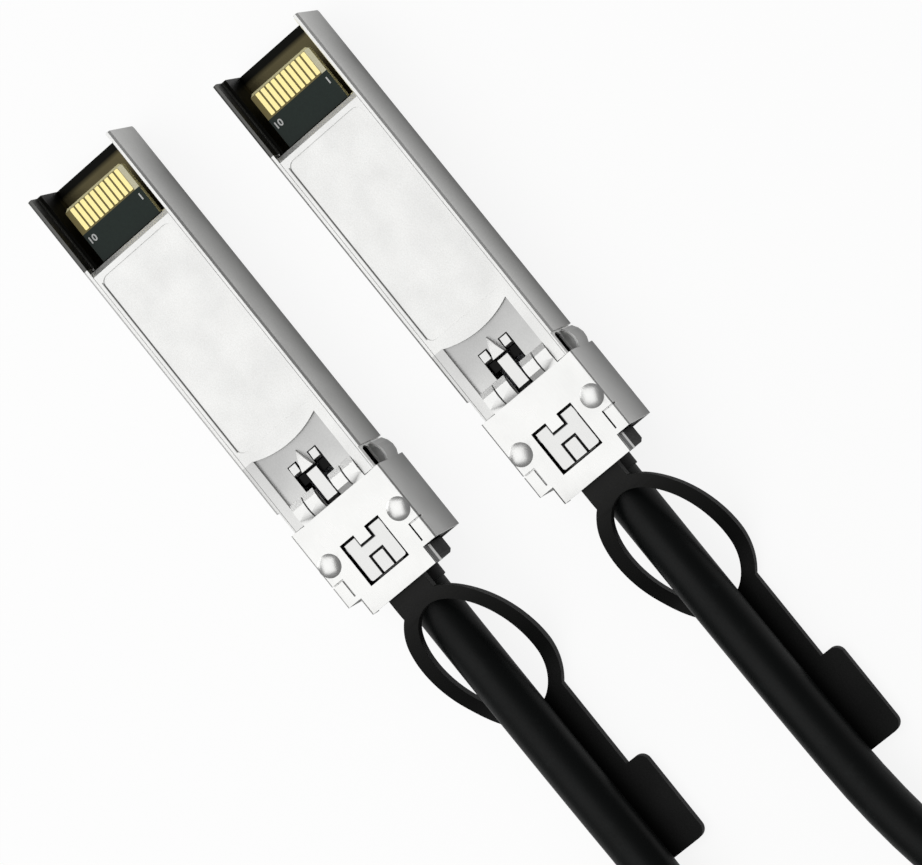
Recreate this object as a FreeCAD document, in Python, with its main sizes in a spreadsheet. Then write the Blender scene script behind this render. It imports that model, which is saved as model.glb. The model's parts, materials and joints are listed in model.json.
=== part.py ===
import FreeCAD, Part

import math
import os
from types import SimpleNamespace

import Sketcher

# Direct attach copper cable: two pluggable ends on one screened copper cable.
# Millimetres, +Z up. Both ends lie latch side up, their cable exits pointing to +X, and the
# origin is the middle of the two ends on the surface that they rest on. Each end is built in
# its own frame: x = 0 at the edge that goes into the port, y = 0 on its centre line.

SIZES = [
    ("shell_width", 13.4, "outer width of the die-cast housing"),
    ("shell_height", 8.5, "outer height of the housing behind the spring fingers"),
    ("shell_end", 60.3, "length of the housing"),
    ("rest_rise", 1.6, "underside of the housing above the underside of the cover"),
    ("floor_thick", 1.0, "floor of the housing"),
    ("side_wall", 1.2, "side wall under the lid's ledge"),
    ("rim_wall", 0.6, "side wall beside the lid"),
    ("lid_thick", 2.0, "thickness of the lid"),
    ("seat_gap", 0.03, "gap round pieces that drop into the housing"),
    ("lead_in", 0.5, "chamfer at the housing's rear end"),
    ("long_edge", 0.25, "chamfer along the housing"),
    ("sill", 0.8, "chamfer at the rear edge of the lid"),
    ("rail_x", 13.0, "rear end of the rails that hold the card"),
    ("rail_short", 5.5, "front end of the rails behind the card's front edge"),
    ("rail_width", 1.5, "width of the rails under the card"),
    ("rail_reach", 0.6, "rails under the card's edge"),
    ("rib_y", 3.6, "inner side of the ribs over the card"),
    ("rib_width", 0.7, "width of the ribs over the card"),
    ("opening_length", 11.0, "open stretch over the card edge"),
    ("latch_x", 45.0, "shoulder of the latch boss"),
    ("boss_length", 2.6, "length of the latch boss"),
    ("boss_width", 1.7, "width of the latch boss at its shoulder"),
    ("boss_rise", 0.45, "latch boss above the face"),
    ("recess_x", 40.3, "rear edge of the latch recess at its sides"),
    ("recess_bow", 1.0, "bow of that edge towards the cable"),
    ("recess_half", 4.85, "half width of the latch recess"),
    ("recess_deep", 0.45, "depth of the latch recess"),
    ("label_x", 12.5, "rear edge of the label recess"),
    ("label_end", 38.9, "front edge of the label recess"),
    ("label_half", 5.6, "half width of the label recess"),
    ("label_deep", 0.15, "depth of the label recess"),
    ("label_corner", 1.0, "corner radius of the label recess"),
    ("card_x", 3.2, "card edge ahead of the housing's rear end"),
    ("card_length", 34.6, "length of the card"),
    ("card_width", 9.2, "width of the card"),
    ("card_thick", 1.0, "thickness of the card"),
    ("card_deep", 2.25, "card face below the housing face"),
    ("pad_pitch", 0.8, "pitch of the contact pads"),
    ("pad_width", 0.56, "width of a contact pad"),
    ("pad_length", 3.1, "length of a contact pad"),
    ("pad_thick", 0.05, "thickness of a contact pad"),
    ("pad_inset", 0.35, "contact pads behind the card's edge"),
    ("card_bevel", 0.3, "bevel of the card's edge"),
    ("card_corner", 0.4, "chamfer of the card's corners"),
    ("chip_x", 18.0, "rear edge of the memory chip"),
    ("chip_side", 3.0, "side of the memory chip"),
    ("chip_thick", 0.9, "thickness of the memory chip"),
    ("capacitor_x", 25.0, "rear edge of the capacitors"),
    ("capacitor_width", 0.5, "width and height of a capacitor"),
    ("capacitor_pitch", 1.5, "pitch of the capacitors"),
    ("core_radius", 0.6, "radius of an insulated core"),
    ("core_pitch", 1.3, "pitch of the cores"),
    ("relief_x", 46.8, "rear end of the groove under the spring fingers"),
    ("relief_deep", 0.4, "depth of that groove"),
    ("relief_under", 0.3, "depth of that groove in the underside"),
    ("oval_half", 1.1, "half height of the oval openings in the side walls"),
    ("oval_bow", 0.35, "bow of their ends"),
    ("cover_x", 49.8, "rear edge of the sheet cover's sleeve"),
    ("cover_end", 60.5, "front edge of the sleeve"),
    ("cover_side", 0.25, "sleeve beyond the housing at each side"),
    ("cover_rise", 0.1, "top of the sleeve above the housing"),
    ("sheet", 0.3, "thickness of the cover's sheet"),
    ("lip_length", 2.35, "lip ahead of the sleeve"),
    ("lip_half", 5.1, "half width of the lip"),
    ("lip_drop", 1.8, "depth of the lip's side flanges"),
    ("fold", 0.28, "outer radius of the cover's folds"),
    ("finger_sheet", 0.25, "thickness of a spring finger"),
    ("finger_length", 2.8, "length of a spring finger"),
    ("finger_bulge", 0.35, "bulge of a spring finger beyond the sleeve"),
    ("finger_width", 1.7, "width of a spring finger"),
    ("finger_slit", 0.2, "slit between spring fingers"),
    ("slot_half", 1.2, "half width of the slot between the middle fingers"),
    ("side_finger", 4.4, "width of the finger at each side"),
    ("window_x", 54.3, "rear edge of the window in the cover"),
    ("window_length", 5.9, "length of the window"),
    ("window_half", 3.0, "half width of the window"),
    ("tongue_half", 0.85, "half width of the tongue into the window"),
    ("tongue_length", 1.4, "length of the tongue"),
    ("lance_back", 3.1, "corner slits start behind the front edge"),
    ("lance_front", 0.6, "corner slits end behind the front edge"),
    ("lance_inset", 1.75, "corner slits inside the cover's side"),
    ("lance_width", 0.22, "width of the corner slits"),
    ("dome_x", 55.3, "centre of the pressed domes"),
    ("dome_y", 5.45, "distance of the domes from the centre line"),
    ("dome_radius", 1.4, "radius of a dome"),
    ("dome_rise", 0.3, "height of a dome"),
    ("dome_taper", 62, "slope of a dome's side from upright, in degrees"),
    ("slider_gap", 0.1, "gap between slider and cover"),
    ("slider_thick", 0.7, "thickness of the latch slider"),
    ("travel", 2.2, "travel of the latch slider"),
    ("bar_half", 0.8, "half width of the slider's bar"),
    ("plate_x", 54.6, "rear edge of the slider's plate"),
    ("plate_length", 5.3, "length of the slider's plate"),
    ("plate_half", 2.75, "half width of the slider's plate"),
    ("fork_half", 2.1, "half width of the slider's fork"),
    ("tine_width", 1.05, "width of a tine"),
    ("fork_gap", 0.3, "yoke of the fork ahead of the latch boss"),
    ("yoke_length", 1.0, "length of the yoke"),
    ("yoke_drop", 0.7, "yoke below the slider"),
    ("thumb_length", 2.6, "length of the thumb pad"),
    ("thumb_half", 1.08, "half width of the thumb pad with its groove"),
    ("thumb_groove", 0.26, "width of the groove round the thumb pad"),
    ("ear_inset", 0.4, "ears ahead of the plate's rear edge"),
    ("ear_thick", 0.8, "length of an ear"),
    ("stem_half", 1.9, "half width of the stem moulded into the pull tab"),
    ("stem_thick", 0.6, "thickness of the stem"),
    ("stem_length", 2.1, "length of the stem"),
    ("cable_width", 5.8, "diameter of the cable"),
    ("cable_rise", 4.75, "cable axis above the surface"),
    ("ring_wall", 0.3, "wall of the crimp ring at its six flats"),
    ("ring_length", 5.0, "length of the crimp ring"),
    ("clamp_x", 50.4, "rear end of the cable clamp block"),
    ("clamp_length", 6.0, "length of the cable clamp block"),
    ("boot_half", 4.5, "half width of the strain relief"),
    ("boot_length", 2.2, "strain relief ahead of the housing"),
    ("snout_length", 1.6, "round snout of the strain relief"),
    ("boot_seat_half", 4.2, "half width of the strain relief inside the housing"),
    ("boot_seat_drop", 0.9, "strain relief below the cable"),
    ("boot_edge", 0.35, "edge chamfer of the strain relief"),
    ("boot_wall", 0.32, "strain relief over the cable"),
    ("tab_thick", 1.4, "thickness of the pull tab"),
    ("tab_gap", 0.3, "gap between the pull tab and fixed pieces"),
    ("neck_half", 2.7, "half width of the pull tab's neck"),
    ("bend_x", 66.4, "place of the pull tab's upper bend"),
    ("bend_angle", 32, "slope of the pull tab's ring, in degrees"),
    ("bend_radius", 8.0, "radius of the pull tab's bends"),
    ("tab_rest", 0.15, "strap of the pull tab above the surface"),
    ("ring_x", 74.5, "centre of the pull tab's ring"),
    ("ring_length_half", 10.2, "half length of the ring"),
    ("ring_width_half", 6.9, "half width of the ring"),
    ("ring_arm", 1.7, "width of the ring's arms"),
    ("strap_half", 4.2, "half width of the strap"),
    ("tab_shift", 0.7, "ring and strap beside the centre line"),
    ("grip_x", 94.6, "start of the grip"),
    ("grip_length", 12.0, "length of the grip"),
    ("grip_reach", 2.4, "grip beyond the strap, on one side"),
    ("grip_corner", 1.2, "corner radius of the grip"),
    ("spring_wire", 0.25, "wire of the return springs"),
    ("spring_radius", 0.5, "mean radius of the return springs"),
    ("spring_y", 4.1, "distance of the return springs from the centre line"),
    ("spring_room", 4.1, "length of the room for a return spring"),
    ("screw_x", 42.5, "place of the housing screws"),
    ("screw_y", 4.0, "distance of the housing screws from the centre line"),
    ("screw_shank", 0.7, "radius of a screw's shank"),
    ("screw_head", 1.4, "radius of a screw's head"),
    ("head_thick", 0.6, "thickness of a screw's head"),
    ("screw_grip", 3.5, "length of a screw in the lid's post"),
    ("screw_post", 1.3, "half width of the lid's screw posts"),
    ("end_pitch", 26.4, "distance between the two ends"),
    ("end_offset", 4.27, "how far the second end lies behind the first"),
]

document = FreeCAD.newDocument("attach_cable")
sheet = document.addObject("Spreadsheet::Sheet", "sizes")


class Size:
    """A length that keeps the sheet expression it comes from, so that arithmetic stays bound."""

    def __init__(self, value, text):
        self.value = value
        self.text = text

    def __add__(self, other):
        other = as_size(other)
        return Size(self.value + other.value, f"({self.text} + {other.text})")

    def __sub__(self, other):
        other = as_size(other)
        return Size(self.value - other.value, f"({self.text} - {other.text})")

    def __mul__(self, other):
        other = as_size(other)
        return Size(self.value * other.value, f"{self.text} * {other.text}")

    def __truediv__(self, other):
        other = as_size(other)
        return Size(self.value / other.value, f"{self.text} / {other.text}")

    def __neg__(self):
        return Size(-self.value, f"(0 - {self.text})")

    def __radd__(self, other):
        return as_size(other) + self

    def __rsub__(self, other):
        return as_size(other) - self

    def __rmul__(self, other):
        return as_size(other) * self


def as_size(value):
    return value if isinstance(value, Size) else Size(value, f"({value!r})")


def fill_sheet():
    aliases = {}
    for row, (alias, value, meaning) in enumerate(SIZES, start=1):
        sheet.set(f"A{row}", meaning)
        sheet.set(f"B{row}", str(value))
        sheet.setAlias(f"B{row}", alias)
        aliases[alias] = Size(value, f"sizes.{alias}")
    document.recompute()
    return SimpleNamespace(**aliases)


s = fill_sheet()

shell_half = s.shell_width / 2
shell_top = s.rest_rise + s.shell_height
ledge = shell_top - s.lid_thick
cavity_floor = s.rest_rise + s.floor_thick
cavity_half = shell_half - s.side_wall
lid_half = shell_half - s.rim_wall - s.seat_gap
cover_half = shell_half + s.cover_side
cover_top = shell_top + s.cover_rise
sleeve_inside = cover_half - s.sheet
sleeve_under = cover_top - s.sheet
recess_floor = shell_top - s.recess_deep
card_top = shell_top - s.card_deep
card_bottom = card_top - s.card_thick
card_end = s.card_x + s.card_length
finger_tip = s.cover_x - s.finger_length
slider_top = sleeve_under - s.slider_gap
slider_bottom = slider_top - s.slider_thick
slider_well = slider_bottom - 0.05
plate_end = s.plate_x + s.plate_length
fork_x = s.latch_x + s.fork_gap
cable_radius = s.cable_width / 2
ring_outside = cable_radius + s.ring_wall
boot_top = s.cable_rise + cable_radius + s.boot_wall
boot_end = s.shell_end + s.boot_length + s.snout_length
tab_bottom = boot_top + s.tab_gap
neck_level = tab_bottom + s.tab_thick / 2
strap_level = s.tab_rest + s.tab_thick / 2
grip_end = s.grip_x + s.grip_length
lip_end = s.cover_end + s.lip_length
step_x = s.cover_x - s.seat_gap
crimp_radius = ring_outside / math.cos(math.pi / 6)
boot_seat_low = s.cable_rise - cable_radius - s.boot_seat_drop
ear_x = s.plate_x + s.ear_inset
ear_end = ear_x + s.ear_thick
ear_half = s.spring_y + 0.9
spring_level = slider_top - 0.65
spring_low = spring_level - 0.7
spring_end = ear_end + s.spring_room
stem_low = neck_level - s.stem_thick / 2
stem_end = plate_end + s.stem_length
tab_start = plate_end + 0.15
tine_tip = s.latch_x - 1.5
tine_face = finger_tip - s.travel + 0.2  # the pulled tines stop short of the fingers
tine_front = s.latch_x + s.travel + 0.15
strap_low = s.tab_shift - s.strap_half
strap_high = s.tab_shift + s.strap_half
grip_high = strap_high + s.grip_reach
bite = as_size(0.3)  # how far a pad reaches into what it grows from
past = as_size(0.1)  # how far a cut reaches past a face
beyond = as_size(1.0)  # how far a trimming outline reaches round the piece

# where each end stands: its x = 0, y = 0 point
PLACES = {
    "a": ((s.end_offset - grip_end) / 2, s.end_pitch / 2),
    "b": ((-s.end_offset - grip_end) / 2, -s.end_pitch / 2),
}
subparts = []
SPRING_TURNS = 4
SPRING_SIDES = 6  # straight stretches that one turn of a return spring is drawn with
SCREW_SIDES = 12  # flats that round pieces are drawn with
CORE_SIDES = 8
DOME_SIDES = 16
TUBE_SIDES = 12
TURN_SIDES = 48


def bind(item, name, size):
    size = as_size(size)
    item.setExpression(name, size.text)


def stand(item, place):
    bind(item, ".Placement.Base.x", place[0])
    bind(item, ".Placement.Base.y", place[1])


def new_body(label, place):
    body = document.addObject("PartDesign::Body", label)
    body.AllowCompound = True
    stand(body, place)
    subparts.append(body)
    return body


def start_sketch(body, role, level, shift=0):
    """Empty sketch on one of the body's origin planes, moved along its normal by level."""
    sketch = body.newObject("Sketcher::SketchObject", "profile")
    plane = next(item for item in body.Origin.OriginFeatures if item.Role == role)
    sketch.AttachmentSupport = [(plane, "")]
    sketch.MapMode = "FlatFace"
    bind(sketch, ".AttachmentOffset.Base.z", level)
    if shift != 0:
        bind(sketch, ".AttachmentOffset.Base.x", shift)
    return sketch


def pin_point(sketch, geometry, corner, point):
    """Hold one point of a sketch at sheet sizes measured from the sketch's origin."""
    for kind, size in zip(("DistanceX", "DistanceY"), point):
        size = as_size(size)
        index = sketch.addConstraint(
            Sketcher.Constraint(kind, -1, 1, geometry, corner, size.value)
        )
        sketch.setExpression(f"Constraints[{index}]", size.text)


def add_outline(sketch, points):
    """Closed outline. A point may carry a third item: a point that the arc to the next passes."""
    first = sketch.GeometryCount
    count = len(points)
    flat = [FreeCAD.Vector(as_size(p[0]).value, as_size(p[1]).value, 0) for p in points]
    for index, point in enumerate(points):
        start = flat[index]
        end = flat[(index + 1) % count]
        if len(point) == 3:
            middle = FreeCAD.Vector(as_size(point[2][0]).value, as_size(point[2][1]).value, 0)
            sketch.addGeometry(Part.Arc(start, middle, end))
        else:
            sketch.addGeometry(Part.LineSegment(start, end))
    for index, point in enumerate(points):
        following = first + (index + 1) % count
        here = first + index
        sketch.addConstraint(
            Sketcher.Constraint("Coincident", here, arc_end(sketch, here, flat[(index + 1) % count]),
                                following, arc_end(sketch, following, flat[(index + 1) % count]))
        )
        pin_point(sketch, here, arc_end(sketch, here, flat[index]), point[:2])
        if len(point) == 3:
            middle = sketch.addGeometry(
                Part.Point(FreeCAD.Vector(as_size(point[2][0]).value, as_size(point[2][1]).value, 0)),
                True,
            )
            sketch.addConstraint(Sketcher.Constraint("PointOnObject", middle, 1, here))
            pin_point(sketch, middle, 1, point[2])


def arc_end(sketch, index, point):
    """Number of the end of a line or arc that lies on the point: an arc is kept anticlockwise."""
    start = sketch.getPoint(index, 1)
    return 1 if start.distanceToPoint(point) < 1e-6 else 2


def add_circle(sketch, centre, radius):
    x, y, radius = as_size(centre[0]), as_size(centre[1]), as_size(radius)
    index = sketch.addGeometry(
        Part.Circle(FreeCAD.Vector(x.value, y.value, 0), FreeCAD.Vector(0, 0, 1), radius.value)
    )
    pin_point(sketch, index, 3, centre)
    constraint = sketch.addConstraint(Sketcher.Constraint("Radius", index, radius.value))
    sketch.setExpression(f"Constraints[{constraint}]", radius.text)


def rectangle(x_low, x_high, y_low, y_high):
    return [(x_low, y_low), (x_high, y_low), (x_high, y_high), (x_low, y_high)]


def even_outline(centre, radius, sides):
    """Corners of an even outline round a centre, the first one to the right."""
    corners = []
    for index in range(sides):
        angle = 2 * math.pi * index / sides
        across = as_size(radius) * math.cos(angle)
        up = as_size(radius) * math.sin(angle)
        corners.append((centre[0] + across, centre[1] + up))
    return corners


def finish_feature(body, feature, grows):
    """Recompute and make sure that the feature added or removed material as meant."""
    before = feature.BaseFeature.Shape.Volume if feature.BaseFeature else 0
    document.recompute()
    change = feature.Shape.Volume - before
    if (change > 0) != grows or abs(change) < 1e-6:
        raise RuntimeError(f"{body.Label}: {feature.Name} changes the volume by {change:.4f}")
    return feature


def pad(body, sketch, length, both_ways=False, backwards=False, kind="Pad"):
    feature = body.newObject(f"PartDesign::{kind}", kind.lower())
    feature.Profile = sketch
    feature.SideType = "Symmetric" if both_ways else "One side"
    feature.Reversed = backwards
    if length is None:
        feature.Type = "ThroughAll"
    else:
        bind(feature, "Length", length)
    return finish_feature(body, feature, kind == "Pad")


def pocket(body, sketch, length, both_ways=False, backwards=False):
    return pad(body, sketch, length, both_ways, backwards, "Pocket")


def mirror(body, features, role="XZ_Plane"):
    feature = body.newObject("PartDesign::Mirrored", "mirrored")
    feature.Originals = features
    plane = next(item for item in body.Origin.OriginFeatures if item.Role == role)
    feature.MirrorPlane = (plane, [""])
    body.Tip = feature
    document.recompute()
    return feature


def row_of(body, features, role, step, count):
    feature = body.newObject("PartDesign::LinearPattern", "row")
    feature.Originals = features
    axis = next(item for item in body.Origin.OriginFeatures if item.Role == role)
    feature.Direction = (axis, [""])
    feature.Occurrences = count
    bind(feature, "Length", step * (count - 1))
    body.Tip = feature
    document.recompute()
    return feature


def dress_edges(body, kind, size, picks):
    """Fillet or chamfer the edges of the tip that the test picks."""
    tip = body.Tip
    names = [f"Edge{i}" for i, edge in enumerate(tip.Shape.Edges, start=1) if picks(edge)]
    feature = body.newObject(f"PartDesign::{kind}", kind.lower())
    feature.Base = (tip, names)
    bind(feature, "Radius" if kind == "Fillet" else "Size", size)
    document.recompute()
    return feature


def runs_along(edge, axis):
    """True for a straight edge along x, y or z."""
    if len(edge.Vertexes) < 2 or not isinstance(edge.Curve, Part.Line):
        return False
    direction = edge.Vertexes[1].Point - edge.Vertexes[0].Point
    return abs(getattr(direction.normalize(), axis)) > 0.999


def near(value, size):
    return abs(value - as_size(size).value) < 1e-4


# ---- the die-cast housing ----


def build_housing_base(label, place):
    """Channel open on top: floor, side walls with a ledge for the lid, cable clamp and foot."""
    body = new_body(label, place)
    rim_inside = shell_half - s.rim_wall
    sketch = start_sketch(body, "YZ_Plane", 0)
    right = [
        (shell_half, s.rest_rise),
        (shell_half, shell_top),
        (rim_inside, shell_top),
        (rim_inside, ledge),
        (cavity_half, ledge),
        (cavity_half, cavity_floor),
    ]
    add_outline(sketch, right + [(-y, z) for y, z in reversed(right)])
    pad(body, sketch, s.shell_end)
    # lead-in at the end that goes into the port, and softened long edges
    dress_edges(body, "Chamfer", s.lead_in, lambda e: near(e.CenterOfMass.x, 0)
                and near(e.CenterOfMass.z, s.rest_rise))
    dress_edges(body, "Chamfer", s.long_edge, lambda e: runs_along(e, "x")
                and near(abs(e.CenterOfMass.y), shell_half))

    # foot under the front part, which stands outside the port
    sketch = start_sketch(body, "XZ_Plane", 0)
    add_outline(sketch, rectangle(s.clamp_x, s.shell_end, s.sheet, s.rest_rise + bite))
    pad(body, sketch, sleeve_inside * 2, both_ways=True)
    # block that clamps the cable
    sketch = start_sketch(body, "XZ_Plane", 0)
    clamp_end = s.clamp_x + s.clamp_length
    add_outline(sketch, rectangle(s.clamp_x, clamp_end, s.rest_rise + bite, ledge))
    pad(body, sketch, (cavity_half + past) * 2, both_ways=True)

    # the front part is stepped in for the sheet cover, and grooved under its fingers
    relief_low = s.rest_rise + s.relief_under
    for start, end, half, top, low in (
        (step_x, s.shell_end, sleeve_inside, sleeve_under, 0),
        (s.relief_x, s.cover_x, shell_half - s.relief_deep, shell_top, relief_low),
    ):
        sketch = start_sketch(body, "YZ_Plane", start)
        side = shell_half + beyond
        add_outline(sketch, rectangle(-side, side, -beyond, shell_top + beyond))
        add_outline(sketch, rectangle(-half, half, low, top))
        pocket(body, sketch, end - start, backwards=True)

    # seat of the crimp ring and of the strain relief
    sketch = start_sketch(body, "YZ_Plane", s.clamp_x)
    add_outline(sketch, even_outline((0, s.cable_rise), crimp_radius + s.seat_gap, 6))
    pocket(body, sketch, s.clamp_length, backwards=True)
    sketch = start_sketch(body, "YZ_Plane", clamp_end)
    seat = s.boot_seat_half
    add_outline(sketch, rectangle(-seat, seat, boot_seat_low, ledge + past))
    pocket(body, sketch, None, backwards=True)

    # rails under the card
    sketch = start_sketch(body, "XY_Plane", cavity_floor)
    rail_end = card_end - s.rail_short
    rail_side = s.card_width / 2 - s.rail_reach
    add_outline(sketch, rectangle(s.rail_x, rail_end, rail_side,
                                  rail_side + s.rail_width + past))
    rail = pad(body, sketch, card_bottom - cavity_floor)
    # oval openings beside the side fingers
    sketch = start_sketch(body, "XZ_Plane", -shell_half)
    add_outline(sketch, side_oval())
    oval = pocket(body, sketch, s.side_wall + s.relief_deep, backwards=True)
    mirror(body, [rail, oval])
    # screw holes in the floor, each with a seat for the head
    for radius, depth in (
        (s.screw_shank + past, s.floor_thick),
        (s.screw_head + past, s.head_thick + s.seat_gap),
    ):
        sketch = start_sketch(body, "XY_Plane", s.rest_rise)
        for side in (1, -1):
            centre = (s.screw_x, side * s.screw_y)
            add_outline(sketch, even_outline(centre, radius, SCREW_SIDES))
        pocket(body, sketch, depth, backwards=True)
    return body


def side_oval():
    """Outline of the openings in the side walls, between the top and the side fingers."""
    low = ledge - s.oval_half
    high = ledge + s.oval_half
    start = s.relief_x + s.oval_bow + 0.15
    end = s.cover_x - 0.2
    return [
        (start, low, (start - s.oval_bow, ledge)),
        (start, high),
        (end, high, (end + s.oval_bow, ledge)),
        (end, low),
    ]


def build_housing_lid(label, place):
    """Lid between the side walls: label recess, latch boss, slots for the slider."""
    body = new_body(label, place)
    start = s.opening_length
    sketch = start_sketch(body, "XY_Plane", ledge)
    add_outline(sketch, rectangle(start, s.shell_end, -lid_half, lid_half))
    pad(body, sketch, s.lid_thick)
    dress_edges(body, "Chamfer", s.sill, lambda e: near(e.CenterOfMass.x, start)
                and near(e.CenterOfMass.z, shell_top))
    # label recess with round corners
    sketch = start_sketch(body, "XY_Plane", shell_top)
    add_outline(sketch, rectangle(s.label_x, s.label_end, -s.label_half, s.label_half))
    pocket(body, sketch, s.label_deep)
    dress_edges(body, "Fillet", s.label_corner, lambda e: runs_along(e, "z")
                and near(abs(e.CenterOfMass.y), s.label_half))
    # latch recess, its rear edge bowed towards the cable
    sketch = start_sketch(body, "XY_Plane", shell_top)
    add_outline(sketch, [
        (s.cover_x, -s.recess_half),
        (s.cover_x, s.recess_half),
        (s.recess_x, s.recess_half, (s.recess_x + s.recess_bow, 0)),
        (s.recess_x, -s.recess_half),
    ])
    pocket(body, sketch, s.recess_deep)
    # step for the cover
    sketch = start_sketch(body, "XY_Plane", shell_top)
    add_outline(sketch, rectangle(step_x, s.shell_end, -shell_half, shell_half))
    pocket(body, sketch, shell_top - sleeve_under)
    # latch boss: a wedge with its shoulder towards the cable
    sketch = start_sketch(body, "XY_Plane", recess_floor)
    add_outline(sketch, [
        (s.latch_x - s.boss_length, 0),
        (s.latch_x, -s.boss_width / 2),
        (s.latch_x, s.boss_width / 2),
    ])
    pad(body, sketch, s.recess_deep + s.boss_rise)
    sketch = start_sketch(body, "XZ_Plane", 0)
    peak = shell_top + s.boss_rise
    crest_x = s.latch_x - s.boss_length * 0.4
    tip_x = s.latch_x - s.boss_length - past
    add_outline(sketch, [
        (tip_x, recess_floor + bite),
        (crest_x, peak),
        (crest_x, peak + beyond),
        (tip_x, peak + beyond),
    ])
    pocket(body, sketch, s.boss_width + bite, both_ways=True)
    # opening for the tines, round the boss's pillar, and the yoke's way under the face
    rear = tine_tip - 0.12
    front = fork_x + s.yoke_length + s.travel + 0.4
    half = s.fork_half + 0.12
    pillar = s.boss_width / 2 + 0.02
    sketch = start_sketch(body, "XY_Plane", shell_top)
    add_outline(sketch, [
        (rear, -half), (tine_front, -half), (tine_front, half), (rear, half),
        (rear, pillar), (s.latch_x, pillar), (s.latch_x, -pillar), (rear, -pillar),
    ])
    pocket(body, sketch, None)
    sketch = start_sketch(body, "XY_Plane", ledge)
    add_outline(sketch, rectangle(s.latch_x + bite, front, -half, half))
    pocket(body, sketch, slider_bottom + 0.05 - ledge, backwards=True)
    # slot for the bar, well for the plate, pockets for the ears and springs, notch for the tab
    well_half = s.plate_half + 0.3
    for low, high, side, level in (
        (tine_front - past, s.plate_x, s.bar_half + 0.35, slider_well),
        (s.plate_x - 0.3, s.shell_end, well_half, slider_well),
        (ear_x - past, spring_end, ear_half + 0.3, spring_low),
    ):
        sketch = start_sketch(body, "XY_Plane", shell_top)
        add_outline(sketch, rectangle(low, high, -side, side))
        pocket(body, sketch, shell_top - level)
    sketch = start_sketch(body, "XY_Plane", shell_top)
    add_outline(sketch, rectangle(plate_end - 1.4, s.shell_end + past, -well_half, well_half))
    pocket(body, sketch, None)
    # ribs that hold the card down, and posts for the screws
    sketch = start_sketch(body, "XY_Plane", ledge)
    for side in (1, -1):
        add_outline(sketch, rectangle(s.rail_x, card_end - s.rail_short, side * s.rib_y,
                                      side * (s.rib_y + s.rib_width)))
    pad(body, sketch, ledge - card_top, backwards=True)
    sketch = start_sketch(body, "XY_Plane", ledge)
    post = s.screw_post
    for side in (1, -1):
        add_outline(sketch, rectangle(s.screw_x - post, s.screw_x + post,
                                      side * s.screw_y - post, side * s.screw_y + post))
    pad(body, sketch, ledge - cavity_floor - s.seat_gap, backwards=True)
    sketch = start_sketch(body, "XY_Plane", ledge)
    for side in (1, -1):
        centre = (s.screw_x, side * s.screw_y)
        add_outline(sketch, even_outline(centre, s.screw_shank, SCREW_SIDES))
    pocket(body, sketch, ledge - cavity_floor)
    # the oval openings of the side walls reach into the lid
    sketch = start_sketch(body, "XZ_Plane", -lid_half)
    add_outline(sketch, side_oval())
    oval = pocket(body, sketch, s.rim_wall + 0.2, backwards=True)
    mirror(body, [oval])
    return body


# ---- the card and what is on it ----


def build_card(label, place):
    body = new_body(label, place)
    sketch = start_sketch(body, "XY_Plane", card_bottom)
    half = s.card_width / 2
    add_outline(sketch, rectangle(s.card_x, card_end, -half, half))
    pad(body, sketch, s.card_thick)
    # the edge that goes into the port's connector is bevelled
    dress_edges(body, "Chamfer", s.card_bevel, lambda e: near(e.CenterOfMass.x, s.card_x)
                and runs_along(e, "y"))
    dress_edges(body, "Chamfer", s.card_corner, lambda e: runs_along(e, "z")
                and e.CenterOfMass.x < (s.card_x + s.card_bevel * 2).value)
    return body


def build_contact_pads(label, place):
    """Ten gold pads on each face of the card."""
    body = new_body(label, place)
    first = -4.5 * s.pad_pitch - s.pad_width / 2
    rows = []
    for level, backwards in ((card_top, False), (card_bottom, True)):
        sketch = start_sketch(body, "XY_Plane", level)
        start = s.card_x + s.pad_inset
        add_outline(sketch, rectangle(start, start + s.pad_length, first, first + s.pad_width))
        rows.append(pad(body, sketch, s.pad_thick, backwards=backwards))
    row_of(body, rows, "Y_Axis", s.pad_pitch, 10)
    return body


def build_card_chip(label, place):
    """Memory chip under the card."""
    body = new_body(label, place)
    sketch = start_sketch(body, "XY_Plane", card_bottom)
    half = s.chip_side / 2
    add_outline(sketch, rectangle(s.chip_x, s.chip_x + s.chip_side, -half, half))
    pad(body, sketch, s.chip_thick, backwards=True)
    dress_edges(body, "Chamfer", s.chip_thick / 6,
                lambda e: near(e.CenterOfMass.z, card_bottom - s.chip_thick))
    return body


def build_card_capacitors(label, place):
    """Row of coupling capacitors under the card."""
    body = new_body(label, place)
    sketch = start_sketch(body, "XY_Plane", card_bottom)
    wide = s.capacitor_width
    first = -1.5 * s.capacitor_pitch - wide / 2
    add_outline(sketch, rectangle(s.capacitor_x, s.capacitor_x + wide * 2, first, first + wide))
    row_of(body, [pad(body, sketch, wide, backwards=True)], "Y_Axis", s.capacitor_pitch, 4)
    return body


# ---- cable end inside the housing ----


def rounded_path(points, share=0.45):
    """Straight runs joined by arcs as large as the runs allow: edges in order, arcs' radii."""
    edges = []
    radii = []
    last = points[0]
    for before, corner, after in zip(points, points[1:], points[2:]):
        back = before - corner
        ahead = after - corner
        cut = share * min(back.Length, ahead.Length)
        start = corner + back.normalize() * cut
        end = corner + ahead.normalize() * cut
        turn = math.pi - back.getAngle(ahead)
        radii.append(cut / math.tan(turn / 2))
        inward = (start + end) * 0.5 - corner
        to_arc = radii[-1] / math.cos(turn / 2) - radii[-1]
        middle = corner + inward.normalize() * to_arc
        edges.append(Part.LineSegment(last, start).toShape())
        edges.append(Part.Arc(start, middle, end).toShape())
        last = end
    edges.append(Part.LineSegment(last, points[-1]).toShape())
    return edges, radii


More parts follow.
